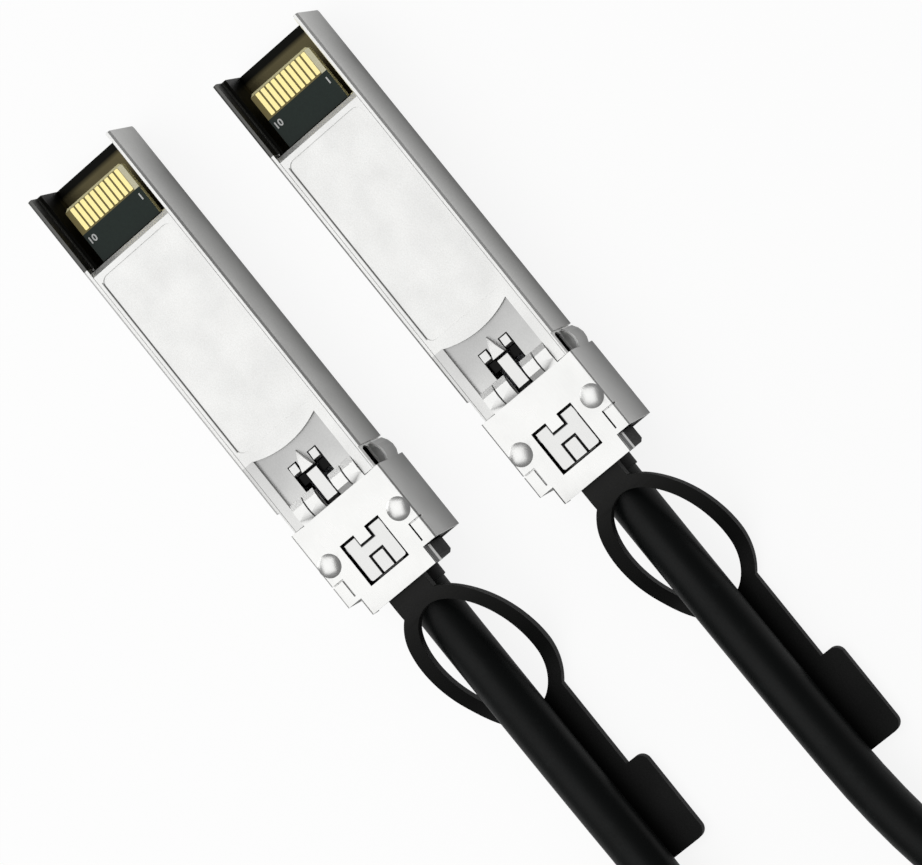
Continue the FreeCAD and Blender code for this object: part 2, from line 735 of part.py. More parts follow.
def even_face(centre, across, up, radius, sides):
    """Flat face with an even outline, in the plane of the two directions."""
    corners = []
    for index in range(sides + 1):
        angle = 2 * math.pi * (index + 0.5) / sides
        corners.append(centre + (across * math.cos(angle) + up * math.sin(angle)) * radius)
    return Part.Face(Part.makePolygon(corners))


def sweep_tube(points, radius):
    """Tube along a rounded path, with its length and the radii of its bends."""
    edges, radii = rounded_path(points)
    up = FreeCAD.Vector(0, 0, 1)
    ahead = edges[0].tangentAt(edges[0].FirstParameter)
    face = even_face(points[0], ahead.cross(up), up, radius, TUBE_SIDES)
    area = face.Area
    pieces = []
    for edge in edges:
        if isinstance(edge.Curve, Part.Circle):
            turn = math.degrees(edge.LastParameter - edge.FirstParameter)
            pieces.append(face.revolve(edge.Curve.Center, edge.Curve.Axis, turn))
            face = face.copy()
            face.rotate(edge.Curve.Center, edge.Curve.Axis, turn)
        else:
            run = edge.valueAt(edge.LastParameter) - edge.valueAt(edge.FirstParameter)
            pieces.append(face.extrude(run))
            face = face.copy()
            face.translate(run)
    tube = pieces[0].multiFuse(pieces[1:])
    length = sum(edge.Length for edge in edges)
    if len(tube.Solids) != 1 or abs(tube.Volume - area * length) > 0.001 * tube.Volume:
        raise RuntimeError(f"tube volume {tube.Volume:.1f} differs from {area * length:.1f}")
    return tube.Solids[0], length, radii


def add_shape(label, shape, place=None):
    item = document.addObject("Part::Feature", label)
    item.Shape = shape
    if place is not None:
        item.Placement = FreeCAD.Placement(
            FreeCAD.Vector(place[0].value, place[1].value, 0), FreeCAD.Rotation()
        )
    subparts.append(item)
    return item


def build_wire_cores(label, place):
    """Four insulated cores from the cable to the solder pads under the card."""
    core = s.core_radius.value
    start = s.clamp_x.value
    solder_x = card_end.value - 3.0
    cores = []
    for place_in_row in (-1.5, -0.5, 0.5, 1.5):
        side = place_in_row * s.core_pitch.value
        begin = FreeCAD.Vector(start, side, s.cable_rise.value)
        end = FreeCAD.Vector(solder_x, side, card_bottom.value - core)
        face = even_face(begin, FreeCAD.Vector(0, 1, 0), FreeCAD.Vector(0, 0, 1), core, CORE_SIDES)
        cores.append(face.extrude(end - begin))
    return add_shape(label, Part.makeCompound(cores), place)


def build_crimp_ring(label, place):
    """Ring crimped with six flats."""
    body = new_body(label, place)
    sketch = start_sketch(body, "YZ_Plane", s.clamp_x + 0.4)
    add_outline(sketch, even_outline((0, s.cable_rise), crimp_radius, 6))
    add_circle(sketch, (0, s.cable_rise), cable_radius)
    pad(body, sketch, s.ring_length)
    return body


def build_cable_end(label, place):
    """Stretch of cable held by the crimp ring and the strain relief."""
    body = new_body(label, place)
    sketch = start_sketch(body, "YZ_Plane", s.clamp_x)
    add_circle(sketch, (0, s.cable_rise), cable_radius)
    pad(body, sketch, boot_end - s.clamp_x)
    return body


def build_strain_relief(label, place):
    """Moulded block held behind the clamp, flange against the housing and round snout."""
    body = new_body(label, place)
    inner = s.clamp_x + s.clamp_length + past
    half = s.boot_seat_half - s.seat_gap
    flange_end = s.shell_end + s.boot_length
    sketch = start_sketch(body, "YZ_Plane", inner)
    add_outline(sketch, rectangle(-half, half, boot_seat_low + s.seat_gap, boot_top - past))
    pad(body, sketch, s.shell_end - inner + past)
    sketch = start_sketch(body, "YZ_Plane", s.shell_end + s.seat_gap)
    low = boot_seat_low - bite
    add_outline(sketch, rectangle(-s.boot_half, s.boot_half, low, boot_top))
    pad(body, sketch, s.boot_length - s.seat_gap)
    dress_edges(body, "Chamfer", s.boot_edge, lambda e: near(e.CenterOfMass.x, flange_end)
                or (runs_along(e, "x") and e.CenterOfMass.x > s.shell_end.value + 0.2))
    # the snout grows out of the flange, its top a little under the flange's
    sketch = start_sketch(body, "YZ_Plane", flange_end - beyond)
    add_circle(sketch, (0, s.cable_rise), cable_radius + s.boot_wall - 0.05)
    pad(body, sketch, s.snout_length + beyond)
    sketch = start_sketch(body, "YZ_Plane", inner)
    add_circle(sketch, (0, s.cable_rise), cable_radius)
    pocket(body, sketch, None, backwards=True)
    return body


def build_shell_screws(label, place):
    """Two screws from below, through the floor into the lid's posts."""
    body = new_body(label, place)
    low = s.rest_rise + s.seat_gap
    for radius, start, end in (
        (s.screw_head, low, low + s.head_thick),
        (s.screw_shank, low + s.head_thick, cavity_floor + s.screw_grip),
    ):
        sketch = start_sketch(body, "XY_Plane", start)
        for side in (1, -1):
            centre = (s.screw_x, side * s.screw_y)
            add_outline(sketch, even_outline(centre, radius, SCREW_SIDES))
        pad(body, sketch, end - start)
    return body


# ---- the sheet cover ----


def arched_strip(outer, crest, tip, thick):
    """Section of a spring finger: from its root on the sleeve, over the crest, to its tip."""
    root_x = s.cover_x + past
    run = finger_tip - root_x
    # even steps along the parabola through root, crest and tip
    low = [
        (root_x, outer),
        (root_x + run * 0.25, outer * 0.375 + crest * 0.75 - tip * 0.125),
        (root_x + run * 0.5, crest),
        (root_x + run * 0.75, crest * 0.75 + tip * 0.375 - outer * 0.125),
        (finger_tip, tip),
    ]
    return low + [(x, height + thick) for x, height in reversed(low)]


def build_emi_cover(label, place):
    """Folded sheet sleeve with spring fingers, window, domes, lanced corners and lip."""
    body = new_body(label, place)
    thick = s.finger_sheet
    top = cover_top
    sketch = start_sketch(body, "YZ_Plane", s.cover_x)
    add_outline(sketch, rectangle(-cover_half, cover_half, 0, top))
    add_outline(sketch, rectangle(-sleeve_inside, sleeve_inside, s.sheet, sleeve_under))
    pad(body, sketch, s.cover_end - s.cover_x)
    dress_edges(body, "Fillet", s.fold, lambda e: runs_along(e, "x")
                and near(abs(e.CenterOfMass.y), cover_half))

    # lip ahead of the sleeve, with a flange folded down at each side
    sketch = start_sketch(body, "XY_Plane", sleeve_under)
    add_outline(sketch, rectangle(s.cover_end - bite, lip_end, -s.lip_half, s.lip_half))
    pad(body, sketch, s.sheet)
    sketch = start_sketch(body, "XZ_Plane", -s.lip_half)
    flange_low = sleeve_under - s.lip_drop
    add_outline(sketch, rectangle(s.cover_end + past, lip_end, flange_low, sleeve_under + past))
    mirror(body, [pad(body, sketch, s.sheet)])
    dress_edges(body, "Fillet", s.fold * 0.8, lambda e: runs_along(e, "x")
                and e.CenterOfMass.x > s.cover_end.value and near(e.CenterOfMass.z, top))

    # arched bands above and below, slit into fingers, and one wide finger at each side
    band_half = s.finger_width * 2 + s.finger_slit + s.slot_half
    for level, crest, tip in (
        (top - thick, top + s.finger_bulge - thick, recess_floor + past),
        (as_size(0), s.rest_rise / 3, s.rest_rise - past / 2),
    ):
        sketch = start_sketch(body, "XZ_Plane", 0)
        add_outline(sketch, arched_strip(level, crest, tip, thick))
        pad(body, sketch, band_half * 2, both_ways=True)
    sketch = start_sketch(body, "XY_Plane", top + beyond)
    tips = finger_tip - beyond
    add_outline(sketch, rectangle(tips, s.cover_x, -s.slot_half, s.slot_half))
    pocket(body, sketch, beyond * 3)
    first_slit = s.slot_half + s.finger_width
    for level, backwards in ((top + beyond, False), (-beyond, True)):
        sketch = start_sketch(body, "XY_Plane", level)
        add_outline(sketch, rectangle(tips, s.cover_x, first_slit, first_slit + s.finger_slit))
        mirror(body, [pocket(body, sketch, beyond * 3.5, backwards=backwards)])
    sketch = start_sketch(body, "XY_Plane", s.rest_rise + 0.4)
    side_tip = shell_half - s.relief_deep + past
    add_outline(sketch, arched_strip(cover_half - thick, cover_half + s.finger_bulge - thick,
                                     side_tip, thick))
    mirror(body, [pad(body, sketch, s.side_finger)])

    # window with a tongue, over the slider's plate
    sketch = start_sketch(body, "XY_Plane", top + beyond)
    window_end = s.window_x + s.window_length
    add_outline(sketch, [
        (s.window_x, -s.window_half),
        (window_end, -s.window_half),
        (window_end, s.window_half),
        (s.window_x, s.window_half),
        (s.window_x, s.tongue_half),
        (s.window_x + s.tongue_length, s.tongue_half),
        (s.window_x + s.tongue_length, -s.tongue_half),
        (s.window_x, -s.tongue_half),
    ])
    pocket(body, sketch, beyond + s.sheet * 2)

    # corner tabs, cut free by an angled slit that runs over the fold
    sketch = start_sketch(body, "XY_Plane", top + beyond)
    slit_x = s.cover_end - s.lance_back
    slit_end = s.cover_end - s.lance_front
    slit_y = cover_half - s.lance_inset
    add_outline(sketch, [
        (slit_x, slit_y),
        (slit_end, slit_y),
        (slit_end, slit_y + s.lance_width),
        (slit_x + s.lance_width, slit_y + s.lance_width),
        (slit_x + s.lance_width, cover_half + past),
        (slit_x, cover_half + past),
    ])
    mirror(body, [pocket(body, sketch, beyond * 2)])

    # domes pressed out of the top
    sketch = start_sketch(body, "XY_Plane", top - past)
    add_outline(sketch, even_outline((s.dome_x, s.dome_y), s.dome_radius, DOME_SIDES))
    dome = pad(body, sketch, s.dome_rise + past)
    bind(dome, "TaperAngle", -s.dome_taper)
    mirror(body, [finish_feature(body, dome, True)])
    return body


# ---- the latch release ----


def build_latch_slider(label, place):
    """Stamped slider: fork with two raised tines, bar, plate with ears, tongue in the tab."""
    body = new_body(label, place)
    sketch = start_sketch(body, "XY_Plane", slider_bottom)
    half = [
        (fork_x, s.bar_half),
        (s.plate_x, s.bar_half),
        (s.plate_x, s.plate_half),
        (ear_x, s.plate_half),
        (ear_x, ear_half),
        (ear_end, ear_half),
        (ear_end, s.plate_half),
        (plate_end, s.plate_half),
    ]
    add_outline(sketch, half + [(x, -y) for x, y in reversed(half)])
    pad(body, sketch, s.slider_thick)
    # rounded corners of the plate
    dress_edges(body, "Fillet", s.slider_thick / 2, lambda e: runs_along(e, "z")
                and near(e.CenterOfMass.x, plate_end))
    # yoke under the bar and the tines that stand beside the latch boss
    yoke_low = slider_bottom - s.yoke_drop
    sketch = start_sketch(body, "XY_Plane", slider_bottom)
    add_outline(sketch, rectangle(fork_x, fork_x + s.yoke_length, -s.fork_half, s.fork_half))
    pad(body, sketch, slider_bottom - yoke_low, backwards=True)
    sketch = start_sketch(body, "XZ_Plane", -s.fork_half)
    add_outline(sketch, [
        (fork_x + past, yoke_low),
        (fork_x + past, slider_bottom),
        (tine_face, slider_bottom),
        (tine_face - 0.35, shell_top - 0.1),
        (tine_tip, shell_top - 0.35),
        (tine_tip, yoke_low + 0.5),
        (tine_tip + 0.6, yoke_low),
    ])
    tine = pad(body, sketch, s.tine_width)
    # ears reach down in front of the return springs
    sketch = start_sketch(body, "XY_Plane", slider_bottom)
    add_outline(sketch, rectangle(ear_x, ear_end, s.plate_half + 0.35, ear_half))
    ear = pad(body, sketch, slider_bottom - spring_low - past, backwards=True)
    mirror(body, [tine, ear])
    # stem one step lower, moulded into the pull tab
    sketch = start_sketch(body, "XZ_Plane", 0)
    stem_top = stem_low + s.stem_thick
    add_outline(sketch, [
        (plate_end - 1.1, slider_bottom + past),
        (plate_end - 1.1, stem_low),
        (stem_end, stem_low),
        (stem_end, stem_top),
        (plate_end - past, stem_top),
        (plate_end - past, slider_bottom + past),
    ])
    pad(body, sketch, s.stem_half * 2, both_ways=True)
    # groove round the thumb pad in the middle of the plate
    sketch = start_sketch(body, "XY_Plane", slider_top)
    outer = s.thumb_half
    groove = s.thumb_groove
    start = plate_end - s.thumb_length
    inner = outer - groove
    add_outline(sketch, [
        (plate_end + past, outer),
        (start, outer),
        (start, -outer),
        (plate_end + past, -outer),
        (plate_end + past, -inner),
        (start + groove, -inner),
        (start + groove, inner),
        (plate_end + past, inner),
    ])
    pocket(body, sketch, s.slider_thick / 2)
    dress_edges(body, "Fillet", groove * 0.75, lambda e: runs_along(e, "z")
                and near(e.CenterOfMass.x, start + groove))
    return body


def build_pull_tab(label, place):
    """Moulded tab: a bent plate trimmed to neck, ring, strap and grip."""
    drop = neck_level - strap_level
    angle = math.radians(s.bend_angle.value)
    plate = document.addObject("PartDesign::Body", f"{label}_bent_plate")
    stand(plate, place)
    bent = start_sketch(plate, "XZ_Plane", 0)
    run = Size(drop.value / math.tan(angle), f"({drop.text} / tan({s.bend_angle.text}))")
    half = s.tab_thick / 2
    # the two faces are offset along the slope by the thickness times the tangent of half the bend
    shift = Size(half.value * math.tan(angle / 2), f"({half.text} * tan({s.bend_angle.text} / 2))")
    low_x = s.bend_x + run
    add_outline(bent, [
        (tab_start, neck_level - half),
        (s.bend_x - shift, neck_level - half),
        (low_x - shift, strap_level - half),
        (grip_end, strap_level - half),
        (grip_end, strap_level + half),
        (low_x + shift, strap_level + half),
        (s.bend_x + shift, neck_level + half),
        (tab_start, neck_level + half),
    ])
    pad(plate, bent, (grip_high + beyond) * 2, both_ways=True)
    for inner, level, corner_x in (
        (False, neck_level + half, s.bend_x + shift),
        (True, neck_level - half, s.bend_x - shift),
        (True, strap_level + half, low_x + shift),
        (False, strap_level - half, low_x - shift),
    ):
        radius = s.bend_radius - half if inner else s.bend_radius + half
        dress_edges(plate, "Fillet", radius, lambda e: runs_along(e, "y")
                    and near(e.CenterOfMass.x, corner_x) and near(e.CenterOfMass.z, level))
    # cavity for the slider's stem
    sketch = start_sketch(plate, "XZ_Plane", 0)
    stem_top = stem_low + s.stem_thick
    add_outline(sketch, rectangle(tab_start - beyond, stem_end, stem_low, stem_top))
    pocket(plate, sketch, s.stem_half * 2, both_ways=True)

    # plan of the tab: neck, ring, strap and grip
    high = as_size(12)
    ring = ellipse_prism(f"{label}_ring", place, s.ring_length_half, s.ring_width_half, high)
    hole = ellipse_prism(f"{label}_hole", place, s.ring_length_half - s.ring_arm,
                         s.ring_width_half - s.ring_arm, high)
    pieces = [ring]
    for name, low_x, high_x, low_y, high_y in (
        ("neck", tab_start, s.ring_x - s.ring_length_half + 1.5, -s.neck_half, s.neck_half),
        ("strap", s.ring_x + s.ring_length_half - 2.5, s.grip_x + 0.5, strap_low, strap_high),
        ("grip", s.grip_x, grip_end, strap_low, grip_high),
    ):
        box = document.addObject("Part::Box", f"{label}_{name}")
        bind(box, "Length", high_x - low_x)
        bind(box, "Width", high_y - low_y)
        bind(box, "Height", high)
        stand(box, (place[0] + low_x, place[1] + low_y))
        bind(box, ".Placement.Base.z", -1)
        if name == "grip":
            box = round_upright_edges(box, s.grip_corner, f"{label}_grip_round")
        pieces.append(box)
    plan = document.addObject("Part::MultiFuse", f"{label}_plan")
    plan.Shapes = pieces
    looped = document.addObject("Part::Cut", f"{label}_looped")
    looped.Base = plan
    looped.Tool = hole
    tab = document.addObject("Part::Common", label)
    tab.Base = plate
    tab.Tool = looped
    document.recompute()
    subparts.append(tab)
    return tab


def round_upright_edges(item, radius, name):
    document.recompute()
    rounded = document.addObject("Part::Fillet", name)
    rounded.Base = item
    rounded.Edges = [
        (index, radius.value, radius.value)
        for index, edge in enumerate(item.Shape.Edges, start=1)
        if runs_along(edge, "z")
    ]
    return rounded


def ellipse_prism(name, place, half_length, half_width, high):
    ellipse = document.addObject("Part::Ellipse", f"{name}_line")
    bind(ellipse, "MajorRadius", half_length)
    bind(ellipse, "MinorRadius", half_width)
    stand(ellipse, (place[0] + s.ring_x, place[1] + s.tab_shift))
    bind(ellipse, ".Placement.Base.z", -1)
    prism = document.addObject("Part::Extrusion", name)
    prism.Base = ellipse
    prism.DirMode = "Custom"
    prism.Dir = FreeCAD.Vector(0, 0, 1)
    bind(prism, "LengthFwd", high)
    prism.Solid = True
    return prism


def build_return_springs(label, place):
    """Two small coil springs between the slider's ears and the ends of their pockets."""
    half = s.spring_wire.value / 2
    radius = s.spring_radius.value
    start = ear_end.value + half + s.seat_gap.value
    length = spring_end.value - half - s.seat_gap.value - start
    steps = SPRING_TURNS * SPRING_SIDES
    points = []
    for index in range(steps + 1):
        angle = 2 * math.pi * index / SPRING_SIDES
        along = start + length * index / steps
        points.append(FreeCAD.Vector(along, radius * math.cos(angle), radius * math.sin(angle)))
    section = Part.makePolygon([
        points[0] + FreeCAD.Vector(x * half, y * half, 0)
        for x, y in ((-1, -1), (1, -1), (1, 1), (-1, 1), (-1, -1))
    ])
    coil = Part.makePolygon(points).makePipeShell([section], True, True, 1)
    coils = []
    for side in (1, -1):
        copy = coil.copy()
        copy.translate(FreeCAD.Vector(0, side * s.spring_y.value, spring_level.value))
        coils.append(copy)
    return add_shape(label, Part.makeCompound(coils), place)


# ---- the cable between the two ends ----

COIL_X = 138.0
TURN_RADIUS = 33.1  # middle of the turns
TURNS_HIGH = 1.87  # height of two layers of turns, the upper one lying in the groove of the lower
TIE_GAP = 0.05
TIE_THICK = 0.9
TIE_WIDTH = 9.0
COIL_RISE = TIE_GAP + TIE_THICK + TIE_GAP

# route of each lead from its strain relief to the coil; the first and last points follow the
# housing and the coil
LEAD_A = [(38.0, 13.2, 4.75), (70.0, 14.0, 4.75), (93.0, 23.0, 3.2), (111.0, 36.0, 3.9)]
LEAD_B = [
    (33.0, -13.2, 4.75),
    (60.0, -12.6, 4.75),
    (82.0, -18.0, 3.0),
    (102.0, -32.0, 2.95),
    (120.0, -41.8, 3.9),
]


def build_leads():
    radius = cable_radius.value
    for name, key, middle in (("cable_lead_a", "a", LEAD_A), ("cable_lead_b", "b", LEAD_B)):
        place_x, place_y = PLACES[key]
        exit_point = (place_x.value + boot_end.value, place_y.value, s.cable_rise.value)
        route = [exit_point] + middle + [(COIL_X, middle[-1][1], middle[-1][2])]
        tube, length, radii = sweep_tube([FreeCAD.Vector(*point) for point in route], radius)
        add_shape(name, tube)
        print(name, f"length {length:.1f} mm, bend radii", [round(value, 1) for value in radii])


def bundle_section(wide, outer):
    """Line drawn tightly round the turns at y = 0, out to the given radius."""
    inner = TURN_RADIUS - wide
    middle = TURN_RADIUS + wide
    top = COIL_RISE + wide * TURNS_HIGH
    points = [
        (inner, COIL_RISE),
        (outer, COIL_RISE),
        (outer, COIL_RISE + wide),
        (middle - wide / 2, top),
        (inner + wide / 2, top),
        (inner, COIL_RISE + wide),
        (inner, COIL_RISE),
    ]
    return Part.makePolygon([FreeCAD.Vector(x, 0, z) for x, z in points])


def turned(face, start, sweep):
    """Turn a face at y = 0 about the coil's axis, from one angle through another."""
    solid = face.revolve(FreeCAD.Vector(0, 0, 0), FreeCAD.Vector(0, 0, 1), sweep)
    solid.rotate(FreeCAD.Vector(0, 0, 0), FreeCAD.Vector(0, 0, 1), start)
    return solid


def ring_block(inner, outer, low, high):
    """Ring of turns about the coil's axis, drawn with flats that stay between the two radii."""
    centre = FreeCAD.Vector(0, 0, low)
    across, up = FreeCAD.Vector(1, 0, 0), FreeCAD.Vector(0, 1, 0)
    clear = inner / math.cos(math.pi / TURN_SIDES)
    face = even_face(centre, across, up, outer, TURN_SIDES)
    face = face.cut(even_face(centre, across, up, clear, TURN_SIDES))
    return face.extrude(FreeCAD.Vector(0, 0, high - low))


def build_coil():
    """Outer shape of the put-away turns: two below, one above, and a last half turn outside."""
    wide = s.cable_width.value
    outside = TURN_RADIUS + wide
    top = COIL_RISE + wide * TURNS_HIGH
    step = COIL_RISE + wide
    below = ring_block(TURN_RADIUS - wide, outside, COIL_RISE, step)
    above = ring_block(TURN_RADIUS - wide / 2, TURN_RADIUS + wide / 2, step, top)
    last = ring_block(outside - 0.5, outside + wide, COIL_RISE, step)
    reach = outside + wide * 2
    last = last.common(Part.makeBox(reach, reach * 2, reach, FreeCAD.Vector(0, -reach, 0)))
    # room for the first lead, which joins the outer turn
    side = outside - wide - 0.4
    entry = Part.makeBox(outside, outside, top + wide, FreeCAD.Vector(-outside, side, 0))
    coil = below.multiFuse([above, last]).cut(entry).removeSplitter()
    coil.translate(FreeCAD.Vector(COIL_X, 0, 0))
    add_shape("cable_coil", coil)


def build_ties():
    """Two straps round the bundle, one each side of the coil."""
    wide = s.cable_width.value
    sweep = math.degrees(TIE_WIDTH / TURN_RADIUS)
    straps = []
    for angle, outer in ((0, TURN_RADIUS + 2 * wide), (180, TURN_RADIUS + wide)):
        section = bundle_section(wide, outer)
        # offset with sharp corners
        band = Part.Face(section.makeOffset2D(TIE_GAP + TIE_THICK, 2))
        band = band.cut(Part.Face(section.makeOffset2D(TIE_GAP, 2)))
        straps.append(turned(band.Faces[0], angle - sweep / 2, sweep))
    ties = Part.makeCompound(straps)
    ties.translate(FreeCAD.Vector(COIL_X, 0, 0))
    add_shape("coil_ties", ties)


BUILDERS = [
    ("housing_base", build_housing_base),
    ("housing_lid", build_housing_lid),
    ("paddle_card", build_card),
    ("contact_pads", build_contact_pads),
    ("card_chip", build_card_chip),
    ("card_capacitors", build_card_capacitors),
    ("wire_cores", build_wire_cores),
    ("crimp_ring", build_crimp_ring),
    ("cable_end", build_cable_end),
    ("strain_relief", build_strain_relief),
    ("shell_screws", build_shell_screws),
    ("emi_cover", build_emi_cover),
    ("latch_slider", build_latch_slider),
    ("pull_tab", build_pull_tab),
    ("return_springs", build_return_springs),
]


def check_document():
    document.recompute()
    for item in document.Objects:
        if "Invalid" in item.State or "Error" in item.State:
            raise RuntimeError(f"{item.Label} failed: {item.State}")
    for item in subparts:
        if item.Shape.isNull() or not item.Shape.isValid() or item.Shape.Volume <= 0:
            raise RuntimeError(f"{item.Label} has no valid solid")


def export_subparts():
    os.makedirs("parts", exist_ok=True)
    for item in subparts:
        item.Shape.exportStep(f"parts/{item.Label}.step")
        print(f"{item.Label}: {len(item.Shape.Solids)} solid(s), {item.Shape.Volume:.2f} mm3")


for side, place in PLACES.items():
    for name, build in BUILDERS:
        build(f"{side}_{name}", place)
build_leads()
build_coil()
build_ties()
check_document()
export_subparts()
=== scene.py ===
import json
import math

import bmesh
import bpy
from mathutils import Matrix, Quaternion, Vector

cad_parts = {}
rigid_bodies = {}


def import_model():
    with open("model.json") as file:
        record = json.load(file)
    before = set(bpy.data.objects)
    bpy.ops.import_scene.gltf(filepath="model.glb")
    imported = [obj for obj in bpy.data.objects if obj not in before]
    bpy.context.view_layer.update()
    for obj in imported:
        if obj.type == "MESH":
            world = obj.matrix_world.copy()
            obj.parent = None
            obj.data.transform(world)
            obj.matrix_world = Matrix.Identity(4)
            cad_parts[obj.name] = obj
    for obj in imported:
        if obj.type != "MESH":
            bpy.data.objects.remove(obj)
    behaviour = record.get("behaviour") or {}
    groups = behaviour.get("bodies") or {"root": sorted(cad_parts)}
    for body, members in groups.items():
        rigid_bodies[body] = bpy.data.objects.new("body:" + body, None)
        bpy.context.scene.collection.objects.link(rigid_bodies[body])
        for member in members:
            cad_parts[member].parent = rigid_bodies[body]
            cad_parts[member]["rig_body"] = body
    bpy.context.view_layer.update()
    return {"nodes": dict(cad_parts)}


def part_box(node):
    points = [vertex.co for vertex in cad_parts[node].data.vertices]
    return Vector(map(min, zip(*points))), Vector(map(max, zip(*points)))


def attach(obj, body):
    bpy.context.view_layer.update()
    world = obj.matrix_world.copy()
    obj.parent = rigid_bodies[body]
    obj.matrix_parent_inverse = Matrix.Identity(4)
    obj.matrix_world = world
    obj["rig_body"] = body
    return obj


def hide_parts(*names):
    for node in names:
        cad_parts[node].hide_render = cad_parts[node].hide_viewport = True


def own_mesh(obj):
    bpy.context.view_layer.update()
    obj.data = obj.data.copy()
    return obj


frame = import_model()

mm = 0.001
ends = ("a", "b")
print("frame loaded")


# where each end stands: rear edge of its housing, on its centre line, at the surface
def endPlace(end):
    low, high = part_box(end + "_housing_base")
    return Vector((low.x, (low.y + high.y) / 2, 0))


places = {end: endPlace(end) for end in ends}

# the camera stands high over both ends; the turn is about its line of sight
cameraFacts = {
    "place": Vector((34.6, 154.1, 510.1)) * mm,
    "lookAt": Vector((-2.6, 2.3, 5.0)) * mm,
    "turn": math.radians(-115.6),
    "lens": 178.5,
    "nearest": 0.01,
    "farthest": 20,
}


def makeCamera(facts):
    data = bpy.data.cameras.new("camera")
    data.lens = facts["lens"]
    data.clip_start = facts["nearest"]
    data.clip_end = facts["farthest"]
    camera = bpy.data.objects.new("camera", data)
    bpy.context.scene.collection.objects.link(camera)
    ahead = facts["lookAt"] - facts["place"]
    camera.rotation_mode = "QUATERNION"
    camera.location = facts["place"]
    turned = Quaternion((0, 0, 1), facts["turn"])
    camera.rotation_quaternion = ahead.to_track_quat("-Z", "Y") @ turned
    bpy.context.scene.camera = camera


makeCamera(cameraFacts)
print("camera set")


class Signal:
    # a socket that arithmetic can be done with
    def __init__(self, finish, socket):
        self.finish = finish
        self.socket = socket

    def join(self, operation, first, second):
        return self.finish.make("ShaderNodeMath", {"operation": operation}, {0: first, 1: second})

    def __add__(self, other):
        return self.join("ADD", self, other)

    def __radd__(self, other):
        return self.join("ADD", other, self)

    def __sub__(self, other):
        return self.join("SUBTRACT", self, other)

    def __rsub__(self, other):
        return self.join("SUBTRACT", other, self)

    def __mul__(self, other):
        return self.join("MULTIPLY", self, other)

    def __rmul__(self, other):
        return self.join("MULTIPLY", other, self)

    def __abs__(self):
        return self.join("ABSOLUTE", self, 0)

    def least(self, other):
        return self.join("MINIMUM", self, other)

    def most(self, other):
        return self.join("MAXIMUM", self, other)

    def rise(self, low, high):
        # 0 below low, 1 above high
        sockets = {0: self, 1: low, 2: high}
        return self.finish.make("ShaderNodeMapRange", {"clamp": True}, sockets)

    def __gt__(self, other):
        return self.join("GREATER_THAN", self, other)

    def __lt__(self, other):
        return self.join("LESS_THAN", self, other)


class Finish:
    # one material under construction
    def __init__(self, name, end=None):
        self.material = bpy.data.materials.new(name)
        self.material.use_nodes = True
        self.tree = self.material.node_tree
        self.tree.nodes.clear()
        self.coordinates = self.make("ShaderNodeTexCoord", output="Object")
        if end:
            # millimetres from the rear edge and the centre line of this end
            self.x, self.y, self.z = [
                (self.axis(name) - start) * (1 / mm) for name, start in zip("XYZ", places[end])
            ]

    def make(self, kind, settings=None, sockets=None, output=0):
        node = self.tree.nodes.new(kind)
        for key, value in (settings or {}).items():
            if key == "stops":
                self.setStops(node.color_ramp, value)
            else:
                setattr(node, key, value)
        for key, value in (sockets or {}).items():
            self.plug(node.inputs[key], value)
        return Signal(self, node.outputs[output]) if len(node.outputs) else node

    def setStops(self, ramp, stops):
        for element, (position, level) in zip(ramp.elements, stops):
            element.position = position
            element.color = (level, level, level, 1)
        for position, level in stops[2:]:
            ramp.elements.new(position).color = (level, level, level, 1)

    def plug(self, target, value):
        if isinstance(value, Signal):
            self.tree.links.new(value.socket, target)
        else:
            target.default_value = value

    def noise(self, size, detail=2.0, stretch=(1, 1, 1)):
        # size is that of a grain, in millimetres
        where = self.make("ShaderNodeMapping", None, {"Vector": self.coordinates, "Scale": stretch})
        sockets = {"Vector": where, "Scale": 1 / (size * mm), "Detail": detail}
        return self.make("ShaderNodeTexNoise", None, sockets)

    def ramp(self, signal, *stops):
        return self.make("ShaderNodeValToRGB", {"stops": list(stops)}, {0: signal})

    def spread(self, noise, low, high):
        # low where the noise is dark, high where it is light
        return self.ramp(noise, (0.3, low), (0.7, high))

    def blend(self, factor, first, second):
        # mixes two colours, each three numbers or a signal
        sockets = {0: factor}
        for key, colour in ((6, first), (7, second)):
            sockets[key] = colour if isinstance(colour, Signal) else (*colour, 1)
        return self.make("ShaderNodeMix", {"data_type": "RGBA"}, sockets, 2)

    def axis(self, name):
        return self.make("ShaderNodeSeparateXYZ", None, {0: self.coordinates}, name)

    def inside(self, centre, half):
        # how far inside a rectangle of this end's plan, negative outside it
        along = half[0] - abs(self.x - centre[0])
        across = half[1] - abs(self.y - centre[1])
        return along.least(across)

    def facing(self, name):
        normal = self.make("ShaderNodeNewGeometry", None, None, "Normal")
        return self.make("ShaderNodeSeparateXYZ", None, {0: normal}, name)

    def bump(self, height, distance, below=None):
        # distance is how far white stands above black, in millimetres
        sockets = {"Height": height, "Distance": distance * mm, "Strength": 1.0}
        if below is not None:
            sockets["Normal"] = below
        return self.make("ShaderNodeBump", None, sockets)

    def surface(self, sockets):
        shader = self.make("ShaderNodeBsdfPrincipled", None, sockets)
        self.make("ShaderNodeOutputMaterial", None, {"Surface": shader})
        return self.material


# Grain and relief are in millimetres, and so are places: along from the rear edge of the end's
# housing, across from its centre line, up from the surface.

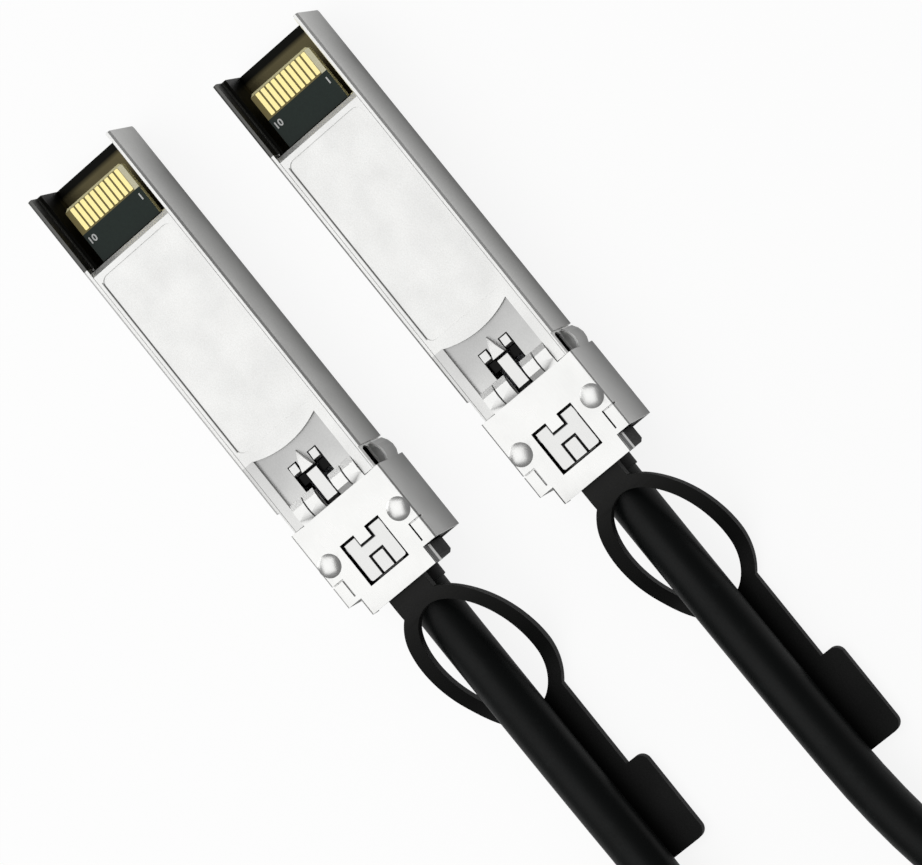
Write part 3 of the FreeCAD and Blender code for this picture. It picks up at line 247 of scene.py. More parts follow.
castFacts = {
    "grain": 0.16,
    "clouds": 5.0,
    "relief": 0.012,
    "dull": (0.80, 0.80, 0.785),
    "light": (0.93, 0.93, 0.92),
    "rough": (0.36, 0.46),
    "flankBeyond": 6.4,
    "flankHeights": (1.5, 9.9),
    "flankDarkest": 0.86,
    "flankLift": 0.76,
    "flankLengths": (-1.0, 7.0),
    "flankAtCard": 0.45,
    "flankRougher": 0.12,
    # colour of the painted shade on the flanks
    "flankPaintedShade": (0.13, 0.13, 0.125),
    "recessFrom": 40.2,
    "recessHalf": 4.84,
    "recessBelow": 9.8,
    "recessRim": 6.6,
    "rimShare": 0.6,
    "recessFade": (41.0, 48.0),
    "recessShadeMost": 0.6,
    "recessLift": 0.35,
    "recessPaintedShade": (0.28, 0.28, 0.28),
    "lineSide": -5.6,
    "lineHalf": 0.12,
    "lineSoft": 0.06,
    "lineFrom": 12.9,
    "lineTo": 38.3,
    "lineAbove": 9.9,
    "lineShare": 0.75,
    "linePaintedShade": (0.10, 0.10, 0.095),
    "hollowHalf": 6.05,
    "hollowBelow": 9.45,
    "hollowPaintedShade": (0.012, 0.012, 0.012),
    "mouthTo": 11.2,
    "mouthEdge": (0.9, 1.5),
    "mouthFloor": 4.0,
    "mouthPaintedShade": (0.008, 0.008, 0.007),
    "mouthFloorPaintedShade": (0.10, 0.085, 0.045),
    "shoulderBeyond": 5.4,
    "shoulderAbove": 7.0,
    "shoulderPaintedLight": (0.80, 0.77, 0.58),
    "darkWallBeyond": -5.9,
    "darkWallTo": 10.6,
    "darkWallAbove": 8.0,
    "darkWallShare": 0.9,
    "wallPaintedShade": (0.05, 0.05, 0.045),
}


def makeCastNickel(end):
    # satin nickel on die-cast zinc: fine blasted grain, faint clouds, and painted shade that darkens
    # it below the faces, in the recesses and in the hollow, with a painted light strip inside the
    # hollow's mouth
    facts = castFacts
    finish = Finish(end + "_cast_nickel", end)
    x, y, z = finish.x, finish.y, finish.z
    grain = finish.noise(facts["grain"], 3)
    clouds = finish.noise(facts["clouds"], 2)
    tone = finish.spread(grain, 0.0, 1.0) * 0.6 + clouds * 0.4
    nickel = finish.blend(tone, facts["dull"], facts["light"])
    # painted shade: the flanks darken towards the bottom, less so beside the card's end
    flank = abs(finish.facing("Y")).rise(0.5, 0.9) * (abs(y) > facts["flankBeyond"])
    lower = facts["flankDarkest"] - z.rise(*facts["flankHeights"]) * facts["flankLift"]
    atCard = facts["flankAtCard"]
    shade = lower * (atCard + x.rise(*facts["flankLengths"]) * (1 - atCard))
    nickel = finish.blend(flank * shade, nickel, facts["flankPaintedShade"])
    # painted shade in the latch recess, and on its rim on one side, weaker further along the recess
    sunk = (abs(y) < facts["recessHalf"]) * (z < facts["recessBelow"])
    rim = (y < -facts["recessHalf"]) * (y > -facts["recessRim"]) * facts["rimShare"]
    recess = (x > facts["recessFrom"]) * sunk.most(rim)
    recessShade = facts["recessShadeMost"] - x.rise(*facts["recessFade"]) * facts["recessLift"]
    nickel = finish.blend(recess * recessShade, nickel, facts["recessPaintedShade"])
    # painted shade line where the label recess ends, along one long side only
    line = (facts["lineHalf"] - abs(y - facts["lineSide"])).rise(0.0, facts["lineSoft"])
    line = line * (x > facts["lineFrom"]) * (x < facts["lineTo"]) * (z > facts["lineAbove"])
    nickel = finish.blend(line * facts["lineShare"], nickel, facts["linePaintedShade"])
    # painted shade: the hollow is nearly black, with a brown painted shade on its floor at its mouth
    # over the card's end
    hollow = (abs(y) < facts["hollowHalf"]) * (z < facts["hollowBelow"])
    floor = x.rise(*facts["mouthEdge"]) * (z < facts["mouthFloor"])
    mouth = finish.blend(floor, facts["mouthPaintedShade"], facts["mouthFloorPaintedShade"])
    # painted light: a pale yellowish strip high on the +y inner wall at the mouth
    shoulder = (y > facts["shoulderBeyond"]) * (z > facts["shoulderAbove"])
    mouth = finish.blend(shoulder, mouth, facts["shoulderPaintedLight"])
    nickel = finish.blend(hollow, nickel, facts["hollowPaintedShade"])
    nickel = finish.blend(hollow * (x < facts["mouthTo"]), nickel, mouth)
    # painted shade on the wall beside the card's end, up to its edge, on one side only
    wall = (y < facts["darkWallBeyond"]) * (x < facts["darkWallTo"]) * (z > facts["darkWallAbove"])
    nickel = finish.blend(wall * facts["darkWallShare"], nickel, facts["wallPaintedShade"])
    rough = finish.spread(clouds, *facts["rough"])
    return finish.surface({
        "Base Color": nickel,
        "Metallic": 1.0,
        "Roughness": rough + flank * facts["flankRougher"],
        "Normal": finish.bump(grain, facts["relief"]),
    })


sheetFacts = {
    "rolled": 0.12,
    "clouds": 4.0,
    "speckle": 0.09,
    "relief": 0.004,
    "dull": (0.78, 0.78, 0.765),
    "light": (0.93, 0.93, 0.92),
    "rough": (0.26, 0.36),
    "cutHalf": 6.6,
    "cutFrom": 49.9,
    "cutAbove": 9.0,
    "cutShare": 0.92,
    "cutPaintedShade": (0.03, 0.03, 0.03),
    "flankBeyond": 6.7,
    "flankHeights": (0.5, 9.9),
    "flankDarkest": 0.75,
    "flankLift": 0.55,
    "flankRougher": 0.15,
    "flankPaintedShade": (0.14, 0.14, 0.14),
}


def makeSheetNickel(end):
    # plated sheet: rolled lines along the cover, cut edges at the front dark with painted shade, and
    # painted shade on the flanks
    facts = sheetFacts
    finish = Finish(end + "_sheet_nickel", end)
    x, y, z = finish.x, finish.y, finish.z
    rolled = finish.noise(facts["rolled"], 3, (0.08, 1, 1))
    clouds = finish.noise(facts["clouds"], 2)
    speckle = finish.noise(facts["speckle"], 2)
    tone = rolled * 0.4 + clouds * 0.3 + speckle * 0.3
    nickel = finish.blend(tone, facts["dull"], facts["light"])
    # painted shade on the upright cut faces towards the front of the cover
    upright = 1 - abs(finish.facing("Z")).rise(0.3, 0.6)
    cut = upright * (abs(y) < facts["cutHalf"]) * (x > facts["cutFrom"]) * (z > facts["cutAbove"])
    nickel = finish.blend(cut * facts["cutShare"], nickel, facts["cutPaintedShade"])
    # painted shade: the flanks darken towards the bottom
    flank = abs(finish.facing("Y")).rise(0.5, 0.9) * (abs(y) > facts["flankBeyond"])
    shade = facts["flankDarkest"] - z.rise(*facts["flankHeights"]) * facts["flankLift"]
    nickel = finish.blend(flank * shade, nickel, facts["flankPaintedShade"])
    rough = finish.spread(clouds, *facts["rough"])
    return finish.surface({
        "Base Color": nickel,
        "Metallic": 1.0,
        "Roughness": rough + flank * facts["flankRougher"],
        "Normal": finish.bump(rolled, facts["relief"]),
    })


# rectangles are given by their middle and their half sizes
latchFacts = {
    "rolled": 0.10,
    "relief": 0.004,
    "dull": (0.70, 0.70, 0.69),
    "light": (0.86, 0.86, 0.85),
    "rough": (0.28, 0.40),
    "window": ((57.25, 0.0), (2.95, 3.0)),
    "tongue": ((55.0, 0.0), (0.75, 0.85)),
    "outline": (0.20, 0.32),
    "outlineFrom": 54.0,
    "outlineTo": 60.5,
    "thumb": ((60.3, 0.0), (3.0, 1.08)),
    "grooveIn": 0.13,
    "grooveHalf": 0.16,
    "grooveSoft": 0.06,
    "grooveTo": 59.95,
    "barFrom": 49.3,
    "barTo": 49.78,
    "forkTo": 50.0,
    "forkBelow": 9.3,
    "deepBelow": 9.12,
    # colour of the painted shade in the outlines, the groove and the lower parts
    "dark": (0.012, 0.012, 0.012),
}


def makeLatchSteel(end):
    # stamped slider: light on top, with painted shade in dark lines where it drops away round the
    # window and the slot, and on its parts below the top
    facts = latchFacts
    finish = Finish(end + "_latch_steel", end)
    x, z = finish.x, finish.z
    rolled = finish.noise(facts["rolled"], 3, (0.1, 1, 1))
    steel = finish.blend(rolled, facts["dull"], facts["light"])
    # painted shade: a dark outline round the window and its tongue
    edge = finish.inside(*facts["window"]).least(0 - finish.inside(*facts["tongue"]))
    outline = 1 - edge.rise(*facts["outline"])
    outline = outline * (x > facts["outlineFrom"]) * (x < facts["outlineTo"])
    # painted shade line in the groove round the thumb pad
    beside = abs(finish.inside(*facts["thumb"]) - facts["grooveIn"])
    groove = (facts["grooveHalf"] - beside).rise(0.0, facts["grooveSoft"])
    outline = outline.most(groove * (x < facts["grooveTo"]))
    # painted shade on the fork, on the bar by the cover's edge and on everything below the top
    fork = (x < facts["forkTo"]) * (z < facts["forkBelow"])
    bar = (x > facts["barFrom"]) * (x < facts["barTo"])
    deep = (z < facts["deepBelow"]).most(fork).most(bar)
    steel = finish.blend(outline.most(deep), steel, facts["dark"])
    return finish.surface({
        "Base Color": steel,
        "Metallic": 1.0,
        "Roughness": finish.spread(rolled, *facts["rough"]),
        "Normal": finish.bump(rolled, facts["relief"]),
    })


goldFacts = {
    "wipe": 0.08,
    "relief": 0.003,
    "dull": (0.93, 0.76, 0.26),
    "light": (0.98, 0.90, 0.50),
    "rough": (0.24, 0.38),
}


def makeGold():
    # contact gold with faint wipe marks along the card
    facts = goldFacts
    finish = Finish("contact_gold")
    wipe = finish.noise(facts["wipe"], 2, (0.05, 1, 1))
    return finish.surface({
        "Base Color": finish.blend(wipe, facts["dull"], facts["light"]),
        "Metallic": 1.0,
        "Roughness": finish.spread(wipe, *facts["rough"]),
        "Normal": finish.bump(wipe, facts["relief"]),
    })


cardFacts = {
    "weave": 0.35,
    "relief": 0.006,
    "lacquer": ((0.004, 0.014, 0.010), (0.010, 0.026, 0.019)),
    "laminate": ((0.70, 0.64, 0.34), (0.86, 0.80, 0.50)),
    "padField": ((4.9, 0), (1.95, 5.0)),
    "fieldSoft": 0.02,
    "paintedShadeBetweenPads": (0.26, 0.21, 0.07),
    "marginFrom": (3.85, 3.95),
    "margin": (0.86, 0.82, 0.58),
    "rough": 0.35,
    "edgeRougher": 0.35,
}


def makeSolderMask(end):
    # dark green lacquer over copper; glass laminate shows at the cut edges and round the pads, with
    # painted shade between the pads and paler laminate beyond them on the +y side
    facts = cardFacts
    finish = Finish("solder_mask", end)
    weave = finish.noise(facts["weave"], 2)
    upright = abs(finish.facing("Z"))
    edge = 1 - upright.rise(0.9, 0.95)
    bare = finish.inside(*facts["padField"]).rise(0.0, facts["fieldSoft"])
    lacquer = finish.blend(weave, *facts["lacquer"])
    laminate = finish.blend(weave, *facts["laminate"])
    # painted shade between the pads; paler laminate beyond the outer pads on the +y side only
    margin = finish.y.rise(*facts["marginFrom"])
    field = finish.blend(margin, facts["paintedShadeBetweenPads"], facts["margin"])
    face = finish.blend(bare, lacquer, field)
    return finish.surface({
        "Base Color": finish.blend(edge, face, laminate),
        "Roughness": facts["rough"] + edge * facts["edgeRougher"],
        "Specular IOR Level": 0.25,
        "Normal": finish.bump(weave, facts["relief"]),
    })


mouldingFacts = {
    "boot": {
        "name": "boot_moulding",
        "shade": (0.004, 0.004, 0.0042),
        "rough": 0.50,
        "grain": 0.20,
        "relief": 0.010,
    },
    "tab": {
        "name": "tab_moulding",
        "shade": (0.003, 0.0032, 0.003),
        "rough": 0.58,
        "grain": 0.22,
        "relief": 0.014,
    },
    "clouds": 6.0,
    "darker": 0.8,
    "lighter": 1.25,
    "roughSpread": 0.06,
    "pale": (0.022, 0.022, 0.021),
    "litHeights": (4.0, 8.5),
    "litShare": 0.7,
}


def makeMoulding(kind):
    # black moulding with the fine grain of its tool, and painted light that makes its higher parts
    # paler
    facts, shared = mouldingFacts[kind], mouldingFacts
    finish = Finish(facts["name"])
    grain = finish.noise(facts["grain"], 3)
    clouds = finish.noise(shared["clouds"], 3)
    dark = tuple(part * shared["darker"] for part in facts["shade"])
    light = tuple(part * shared["lighter"] for part in facts["shade"])
    # painted light: the higher parts are painted paler, as if nearer the lamps
    low, high = shared["litHeights"]
    paintedLight = finish.axis("Z").rise(low * mm, high * mm) * shared["litShare"]
    black = finish.blend(clouds, dark, light)
    worn = grain * 0.5 + clouds * 0.5
    rough, spread = facts["rough"], shared["roughSpread"]
    return finish.surface({
        "Base Color": finish.blend(paintedLight, black, shared["pale"]),
        "Roughness": finish.ramp(worn, (0.35, rough - spread), (0.65, rough + spread)),
        "Specular IOR Level": 0.2,
        "Normal": finish.bump(grain, facts["relief"]),
    })


jacketFacts = {
    "waves": 9.0,
    "skin": 0.25,
    "scuffs": 2.2,
    "waveRelief": 0.08,
    "skinRelief": 0.006,
    "black": (0.0025, 0.0035, 0.0034),
    "scuffed": (0.007, 0.009, 0.0088),
    "rough": (0.40, 0.52),
}


def makeJacket():
    # extruded jacket: soft sheen, slight waves, a few scuffs
    facts = jacketFacts
    finish = Finish("cable_jacket")
    waves = finish.noise(facts["waves"], 2)
    skin = finish.noise(facts["skin"], 3)
    scuffs = finish.ramp(finish.noise(facts["scuffs"], 5), (0.62, 0.0), (0.75, 1.0))
    wavy = finish.bump(waves, facts["waveRelief"])
    smooth, dull = facts["rough"]
    return finish.surface({
        "Base Color": finish.blend(scuffs, facts["black"], facts["scuffed"]),
        "Roughness": finish.ramp(skin * 0.4 + waves * 0.6, (0.35, smooth), (0.65, dull)),
        "Specular IOR Level": 0.2,
        "Normal": finish.bump(skin, facts["skinRelief"], wavy),
    })


# hidden or small pieces: material name, colour, how metallic, how rough
plainFacts = {
    "chip": ("chip_epoxy", (0.02, 0.02, 0.021), 0.0, 0.5),
    "ceramic": ("capacitor_ceramic", (0.42, 0.32, 0.22), 0.0, 0.45),
    "core": ("core_insulation", (0.78, 0.80, 0.84), 0.0, 0.35),
    "crimp": ("crimp_copper", (0.72, 0.45, 0.30), 1.0, 0.35),
    "steel": ("screw_steel", (0.62, 0.62, 0.62), 1.0, 0.30),
    "ink": ("white_ink", (0.85, 0.86, 0.84), 0.0, 0.55),
}
plainGrain = {"size": 0.3, "relief": 0.004, "darker": 0.85, "roughSpread": 0.05}


def makePlain(name, colour, metallic, rough):
    finish = Finish(name)
    grain = finish.noise(plainGrain["size"], 3)
    dark = tuple(part * plainGrain["darker"] for part in colour)
    spread = plainGrain["roughSpread"]
    return finish.surface({
        "Base Color": finish.blend(grain, dark, colour),
        "Metallic": metallic,
        "Roughness": finish.spread(grain, rough - spread, rough + spread),
        "Normal": finish.bump(grain, plainGrain["relief"]),
    })


# how close the loops lie, as the wave texture's scale, and how unevenly they run
strapFacts = {
    "acrossScale": 320.0,
    "acrossUneven": 1.5,
    "alongScale": 420.0,
    "alongUneven": 1.0,
    "relief": 0.15,
    "dark": (0.010, 0.010, 0.011),
    "light": (0.045, 0.045, 0.048),
    "rough": (0.75, 0.9),
}


def makeStrapWeave():
    # woven strap: loops across and along
    facts = strapFacts
    finish = Finish("strap_weave")
    across = finish.make("ShaderNodeTexWave", {"bands_direction": "Z"}, {
        "Vector": finish.coordinates,
        "Scale": facts["acrossScale"],
        "Distortion": facts["acrossUneven"],
    })
    along = finish.make("ShaderNodeTexWave", {"bands_direction": "Y"}, {
        "Vector": finish.coordinates,
        "Scale": facts["alongScale"],
        "Distortion": facts["alongUneven"],
    })
    loops = across * along
    return finish.surface({
        "Base Color": finish.blend(loops, facts["dark"], facts["light"]),
        "Roughness": finish.ramp(loops, (0.0, facts["rough"][0]), (1.0, facts["rough"][1])),
        "Normal": finish.bump(loops, facts["relief"]),
    })


finishes = {
    "gold": makeGold(),
    "boot": makeMoulding("boot"),
    "tab": makeMoulding("tab"),
    "jacket": makeJacket(),
    "weave": makeStrapWeave(),
}
for kind, facts in plainFacts.items():
    finishes[kind] = makePlain(*facts)
for end in ends:
    finishes[end + "_cast"] = makeCastNickel(end)
    finishes[end + "_sheet"] = makeSheetNickel(end)
    finishes[end + "_mask"] = makeSolderMask(end)
    finishes[end + "_latch"] = makeLatchSteel(end)
print("finishes made")

# the leads in millimetres: a from its strain relief to the coil, b from the coil to its own
cableFacts = {
    "leadA": [(38.0, 13.2, 4.75), (70.0, 14.0, 4.75), (93.0, 23.0, 3.2), (111.0, 36.0, 3.9)],
    "leadB": [
        (120.0, -41.8, 3.9),
        (102.0, -32.0, 2.95),
        (82.0, -18.0, 3.0),
        (60.0, -12.6, 4.75),
        (33.0, -13.2, 4.75),
    ],
    "steps": 8,
    "roundSteps": 8,
}

# the put-away turns: at each station the degrees turned since lead a joined, radius and height
coilFacts = {
    "centre": 138.0,
    "step": 15,
    "stations": [
        (0, 36.0, 3.9),
        (295, 36.0, 3.9),
        (350, 30.2, 3.9),
        (640, 30.2, 3.9),
        (680, 30.2, 9.7),
        (750, 30.2, 9.7),
        (790, 33.1, 8.9),
        (1000, 33.1, 8.9),
        (1020, 36.0, 9.7),
        (1080, 36.0, 9.7),
        (1107, 40.1, 8.0),
        (1135, 41.8, 3.9),
        (1260, 41.8, 3.9),
    ],
}


def coilPoint(facts, turned):
    # eases from one station's radius and height to the next
    stations = facts["stations"]
    for first, second in zip(stations, stations[1:]):
        if turned <= second[0]:
            break
    share = (turned - first[0]) / (second[0] - first[0])
    share = share * share * (3 - 2 * share)
    radius = first[1] + (second[1] - first[1]) * share
    height = first[2] + (second[2] - first[2]) * share
    angle = math.radians(90 - turned)
    return facts["centre"] + radius * math.cos(angle), radius * math.sin(angle), height


def makeCable():
    # one smooth spline from boot to boot, by way of the coil
    boots = {end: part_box(end + "_strain_relief")[1].x for end in ends}
    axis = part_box("a_cable_end")
    level = (axis[0].z + axis[1].z) / 2
    diameter = axis[1].z - axis[0].z
    steps = range(0, coilFacts["stations"][-1][0] + 1, coilFacts["step"])
    turns = [coilPoint(coilFacts, turned) for turned in steps]
    middle = cableFacts["leadA"] + turns + cableFacts["leadB"]
    start = Vector((boots["a"], places["a"].y, level))
    finish = Vector((boots["b"], places["b"].y, level))
    points = [start] + [Vector(point) * mm for point in middle] + [finish]
    curve = bpy.data.curves.new("cable", "CURVE")
    curve.dimensions = "3D"
    spline = curve.splines.new("NURBS")
    spline.points.add(len(points) - 1)
    for target, point in zip(spline.points, points):
        target.co = (*point, 1)
    spline.order_u = 3
    spline.use_endpoint_u = True
    spline.resolution_u = cableFacts["steps"]
    curve.bevel_depth = diameter / 2
    curve.bevel_resolution = cableFacts["roundSteps"]
    curve.use_fill_caps = True
    curve.materials.append(finishes["jacket"])
    cable = bpy.data.objects.new("cable", curve)
    bpy.context.scene.collection.objects.link(cable)
    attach(cable, "cable")
    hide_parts("cable_lead_a", "cable_lead_b", "cable_coil")


makeCable()
print("cable laid")

# the finish of each CAD piece of an end; some have one for each end
nodeFinishes = {
    "housing_base": "cast",
    "housing_lid": "cast",
    "paddle_card": "mask",
    "contact_pads": "gold",
    "card_chip": "chip",
    "card_capacitors": "ceramic",
    "wire_cores": "core",
    "crimp_ring": "crimp",
    "cable_end": "jacket",
    "strain_relief": "boot",
    "shell_screws": "steel",
    "emi_cover": "sheet",
    "latch_slider": "latch",
    "pull_tab": "tab",
    "return_springs": "steel",
}


def dressNode(name, finish):
    node = frame["nodes"][name]
    node.data.materials.clear()
    node.data.materials.append(finishes.get(f"{name[0]}_{finish}") or finishes[finish])


for end in ends:
    for name, finish in nodeFinishes.items():
        dressNode(f"{end}_{name}", finish)
for name in ("cable_lead_a", "cable_lead_b", "cable_coil"):
    dressNode(name, "jacket")
dressNode("coil_ties", "weave")

# edge radius in millimetres, and segments; thin sheet keeps its sharp edges
edgeFacts = {"weld": 0.002, "flatBelow": math.radians(1.0), "sharpAbove": math.radians(26)}
roundedEdges = {
    "housing_base": (0.10, 2),
    "housing_lid": (0.07, 2),
    "strain_relief": (0.20, 3),
    "latch_slider": (0.06, 2),
    "emi_cover": (0, 0),
    "pull_tab": (0.30, 3),
}


def makeRounded(end, name):
    # a copy of the CAD piece with edges that catch the light
    node = frame["nodes"][f"{end}_{name}"]
    radius, segments = roundedEdges[name]
    mesh = node.data.copy()
    work = bmesh.new()
    work.from_mesh(mesh)
    bmesh.ops.remove_doubles(work, verts=work.verts, dist=edgeFacts["weld"] * mm)
    if radius:
        flat = edgeFacts["flatBelow"]
        bmesh.ops.dissolve_limit(work, angle_limit=flat, verts=work.verts, edges=work.edges)
    work.to_mesh(mesh)
    work.free()
    piece = bpy.data.objects.new(f"{end}_{name}_rounded", mesh)
    bpy.context.scene.collection.objects.link(piece)
    for polygon in mesh.polygons:
        polygon.use_smooth = True
    sharp = edgeFacts["sharpAbove"]
    if radius:
        bevel = piece.modifiers.new("edges", "BEVEL")
        bevel.width = radius * mm
        bevel.segments = segments
        bevel.limit_method = "ANGLE"
        bevel.angle_limit = sharp
    else:
        mesh.set_sharp_from_angle(angle=sharp)
    faces = piece.modifiers.new("flat_faces", "WEIGHTED_NORMAL")
    faces.keep_sharp = not radius
    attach(piece, node["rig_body"])
    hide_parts(node.name)


for end in ends:
    for name in roundedEdges:
        makeRounded(end, name)
print("edges rounded")


class Grower:
    # a node tree with named inputs that ends in real geometry with its material set
    def __init__(self, name, wanted):
        self.tree = bpy.data.node_groups.new(name, "GeometryNodeTree")
        kinds = {
            "Count": "NodeSocketInt",
            "Material": "NodeSocketMaterial",
            "First": "NodeSocketVector",
        }
        panel = self.tree.interface
        self.values = {}
        for key, value in wanted.items():
            kind = kinds.get(key, "NodeSocketFloat")
            socket = panel.new_socket(name=key, in_out="INPUT", socket_type=kind)
            self.values[socket.identifier] = value
        panel.new_socket(name="Geometry", in_out="OUTPUT", socket_type="NodeSocketGeometry")
        self.given = self.tree.nodes.new("NodeGroupInput")
        self.end = self.tree.nodes.new("NodeGroupOutput")

    def asked(self, name):
        return self.given.outputs[name]

    def add(self, kind, settings, inputs):
        # an input takes a number, a link or a list of links
        node = self.tree.nodes.new(kind)
        for key, value in settings.items():
            setattr(node, key, value)
        for key, value in inputs.items():
            target = node.inputs[key]
            for one in value if isinstance(value, list) else [value]:
                if isinstance(one, bpy.types.NodeSocket):
                    self.tree.links.new(one, target)
                else:
                    target.default_value = one
        return node.outputs[0]

    def row(self, shape):
        # copies of the shape in a straight row, from the named inputs First, Count and Pitch
        step = self.add("ShaderNodeCombineXYZ", {}, {"Y": self.asked("Pitch")})
        spots = {"Count": self.asked("Count"), "Start Location": self.asked("First"), "Offset": step}
        line = self.add("GeometryNodeMeshLine", {"mode": "OFFSET"}, spots)
        return self.add("GeometryNodeInstanceOnPoints", {}, {"Points": line, "Instance": shape})

    def grow(self, name, instances):
        real = self.add("GeometryNodeRealizeInstances", {}, {"Geometry": instances})
        look = {"Geometry": real, "Material": self.asked("Material")}
        dressed = self.add("GeometryNodeSetMaterial", {}, look)
        self.tree.links.new(dressed, self.end.inputs[0])
        holder = bpy.data.objects.new(name, bpy.data.meshes.new(name))
        bpy.context.scene.collection.objects.link(holder)
        modifier = holder.modifiers.new("grow", "NODES")
        modifier.node_group = self.tree
        for identifier, value in self.values.items():
            modifier[identifier] = value
        bpy.context.view_layer.update()
        grown = holder.evaluated_get(bpy.context.evaluated_depsgraph_get())
        mesh = bpy.data.meshes.new_from_object(grown)
        holder.modifiers.remove(modifier)
        bpy.data.objects.remove(holder)
        return mesh


padFacts = {
    "count": 10,
    "pitch": 0.8,
    "width": 0.56,
    "corner": 0.1,
    "cornerSteps": 4,
    "thick": 0.05,
    "weld": 0.001,
}


def padRow(end, level):
    # rounded pads side by side on one face of the card
    facts = padFacts
    low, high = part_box(end + "_contact_pads")
    across = places[end].y - facts["pitch"] * mm * (facts["count"] - 1) / 2
    grower = Grower("pad_row", {
        "Material": finishes["gold"],
        "Count": facts["count"],
        "Pitch": facts["pitch"] * mm,
        "Length": high.x - low.x,
        "Width": facts["width"] * mm,
        "Corner": facts["corner"] * mm,
        "Thick": facts["thick"] * mm,
        "First": ((low.x + high.x) / 2, across, level),
    })
    add, asked = grower.add, grower.asked
    sides = {"Width": asked("Length"), "Height": asked("Width")}
    outline = add("GeometryNodeCurvePrimitiveQuadrilateral", {}, sides)
    corners = {"Curve": outline, "Radius": asked("Corner"), "Count": facts["cornerSteps"]}
    outline = add("GeometryNodeFilletCurve", {"mode": "POLY"}, corners)
    plate = add("GeometryNodeFillCurve", {"mode": "NGONS"}, {"Curve": outline})
    rise = {"Mesh": plate, "Offset Scale": asked("Thick"), "Individual": False}
    raised = add("GeometryNodeExtrudeMesh", {}, rise)
    under = add("GeometryNodeFlipFaces", {}, {"Mesh": plate})
    both = add("GeometryNodeJoinGeometry", {}, {"Geometry": [raised, under]})
    weld = {"Geometry": both, "Distance": facts["weld"] * mm}
    solid = add("GeometryNodeMergeByDistance", {}, weld)
    return grower.grow("pad_row", grower.row(solid))


def makePads(end):
    # one row on the card's upper face, one under its lower face
    low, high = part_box(end + "_paddle_card")
    work = bmesh.new()
    for level in (high.z, low.z - padFacts["thick"] * mm):
        work.from_mesh(padRow(end, level))
    mesh = bpy.data.meshes.new(end + "_pads")
    work.to_mesh(mesh)
    work.free()
    mesh.materials.append(finishes["gold"])
    piece = bpy.data.objects.new(end + "_contact_pads_rounded", mesh)
    bpy.context.scene.collection.objects.link(piece)
    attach(piece, "cable")
    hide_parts(end + "_contact_pads")


springFacts = {
    "count": 2,
    "turns": 6.5,
    "turnSteps": 16,
    "radius": 0.48,
    "wire": 0.125,
    "wireSides": 8,
    "travel": 2.2,
    "spare": 0.1,
}


def makeSprings(end):
    # wound springs, side by side
    facts = springFacts
    low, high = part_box(end + "_return_springs")
    length = high.x - low.x - 2 * facts["wire"] * mm
    reach = (high.y - low.y) / 2 - (facts["radius"] + facts["wire"]) * mm
    grower = Grower("spring_pair", {
        "Material": finishes["steel"],
        "Count": facts["count"],
        "Turns": facts["turns"],
        "Radius": facts["radius"] * mm,
        "Wire": facts["wire"] * mm,
        "Length": length,
        "Pitch": reach * 2,
        "First": (low.x + facts["wire"] * mm, places[end].y - reach, (low.z + high.z) / 2),
    })
    add, asked = grower.add, grower.asked
    path = add("GeometryNodeCurveSpiral", {}, {
        "Resolution": facts["turnSteps"],
        "Rotations": asked("Turns"),
        "Start Radius": asked("Radius"),
        "End Radius": asked("Radius"),
        "Height": asked("Length"),
    })
    circle = {"Resolution": facts["wireSides"], "Radius": asked("Wire")}
    ring = add("GeometryNodeCurvePrimitiveCircle", {}, circle)
    sweep = {"Curve": path, "Profile Curve": ring, "Fill Caps": True}
    wound = add("GeometryNodeCurveToMesh", {}, sweep)
    laid = {"Geometry": wound, "Rotation": (0, math.pi / 2, 0)}
    wound = add("GeometryNodeTransform", {}, laid)
    mesh = grower.grow(end + "_springs", grower.row(wound))
    for polygon in mesh.polygons:
        polygon.use_smooth = True
    piece = bpy.data.objects.new(end + "_return_springs_wound", mesh)
    bpy.context.scene.collection.objects.link(piece)
    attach(piece, "cable")
    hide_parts(end + "_return_springs")
    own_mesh(piece)


for end in ends:
    makePads(end)
    makeSprings(end)
print("pads laid, springs wound")

# where the domes stand on the cover, and how round they are
domeFacts = {
    "along": 55.3,
    "across": 5.45,
    "top": 10.2,
    "radius": 1.45,
    "rise": 0.38,
    "rings": 10,
    "sides": 48,
    "sharpAbove": math.radians(60),
}


def makeDomes(end):
    # closed round caps over the pressed domes of the cover
    facts = domeFacts
    top = facts["top"]
    ball = (facts["radius"] ** 2 + facts["rise"] ** 2) / (2 * facts["rise"])
    widest = math.asin(facts["radius"] / ball)
    points = []
    faces = []
    for side in (1, -1):
        base = len(points)
        points.append((facts["along"], side * facts["across"], top + facts["rise"]))
        for ring in range(1, facts["rings"] + 1):
            tilt = widest * ring / facts["rings"]
            radius = ball * math.sin(tilt)
            height = top + facts["rise"] - ball * (1 - math.cos(tilt))
            for step in range(facts["sides"]):
                turn = 2 * math.pi * step / facts["sides"]
                points.append((facts["along"] + radius * math.cos(turn),
                               side * facts["across"] + radius * math.sin(turn), height))
        for step in range(facts["sides"]):
            after = (step + 1) % facts["sides"]
            faces.append((base, base + 1 + step, base + 1 + after))
            for ring in range(facts["rings"] - 1):
                inner = base + 1 + ring * facts["sides"]
                outer = inner + facts["sides"]
                faces.append((inner + step, outer + step, outer + after, inner + after))
        foot = range(len(points) - facts["sides"], len(points))
        faces.append(tuple(reversed(foot)))
    mesh = bpy.data.meshes.new(end + "_domes")
    mesh.from_pydata([places[end] + Vector(point) * mm for point in points], [], faces)
    for polygon in mesh.polygons:
        polygon.use_smooth = True
    mesh.set_sharp_from_angle(angle=facts["sharpAbove"])
    mesh.materials.append(finishes[end + "_sheet"])
    piece = bpy.data.objects.new(end + "_cover_domes", mesh)
    bpy.context.scene.collection.objects.link(piece)
    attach(piece, "cable")


for end in ends:
    makeDomes(end)
print("domes pressed")

# plain numbers printed behind the outermost pads: each word and how far across it stands
numberFacts = {
    "height": 0.85,
    "sizePerHeight": 1.4,
    "along": 8.3,
    "thick": 0.012,
    "bolder": 0.03,
    "words": (("10", -3.9), ("1", 4.0)),
}


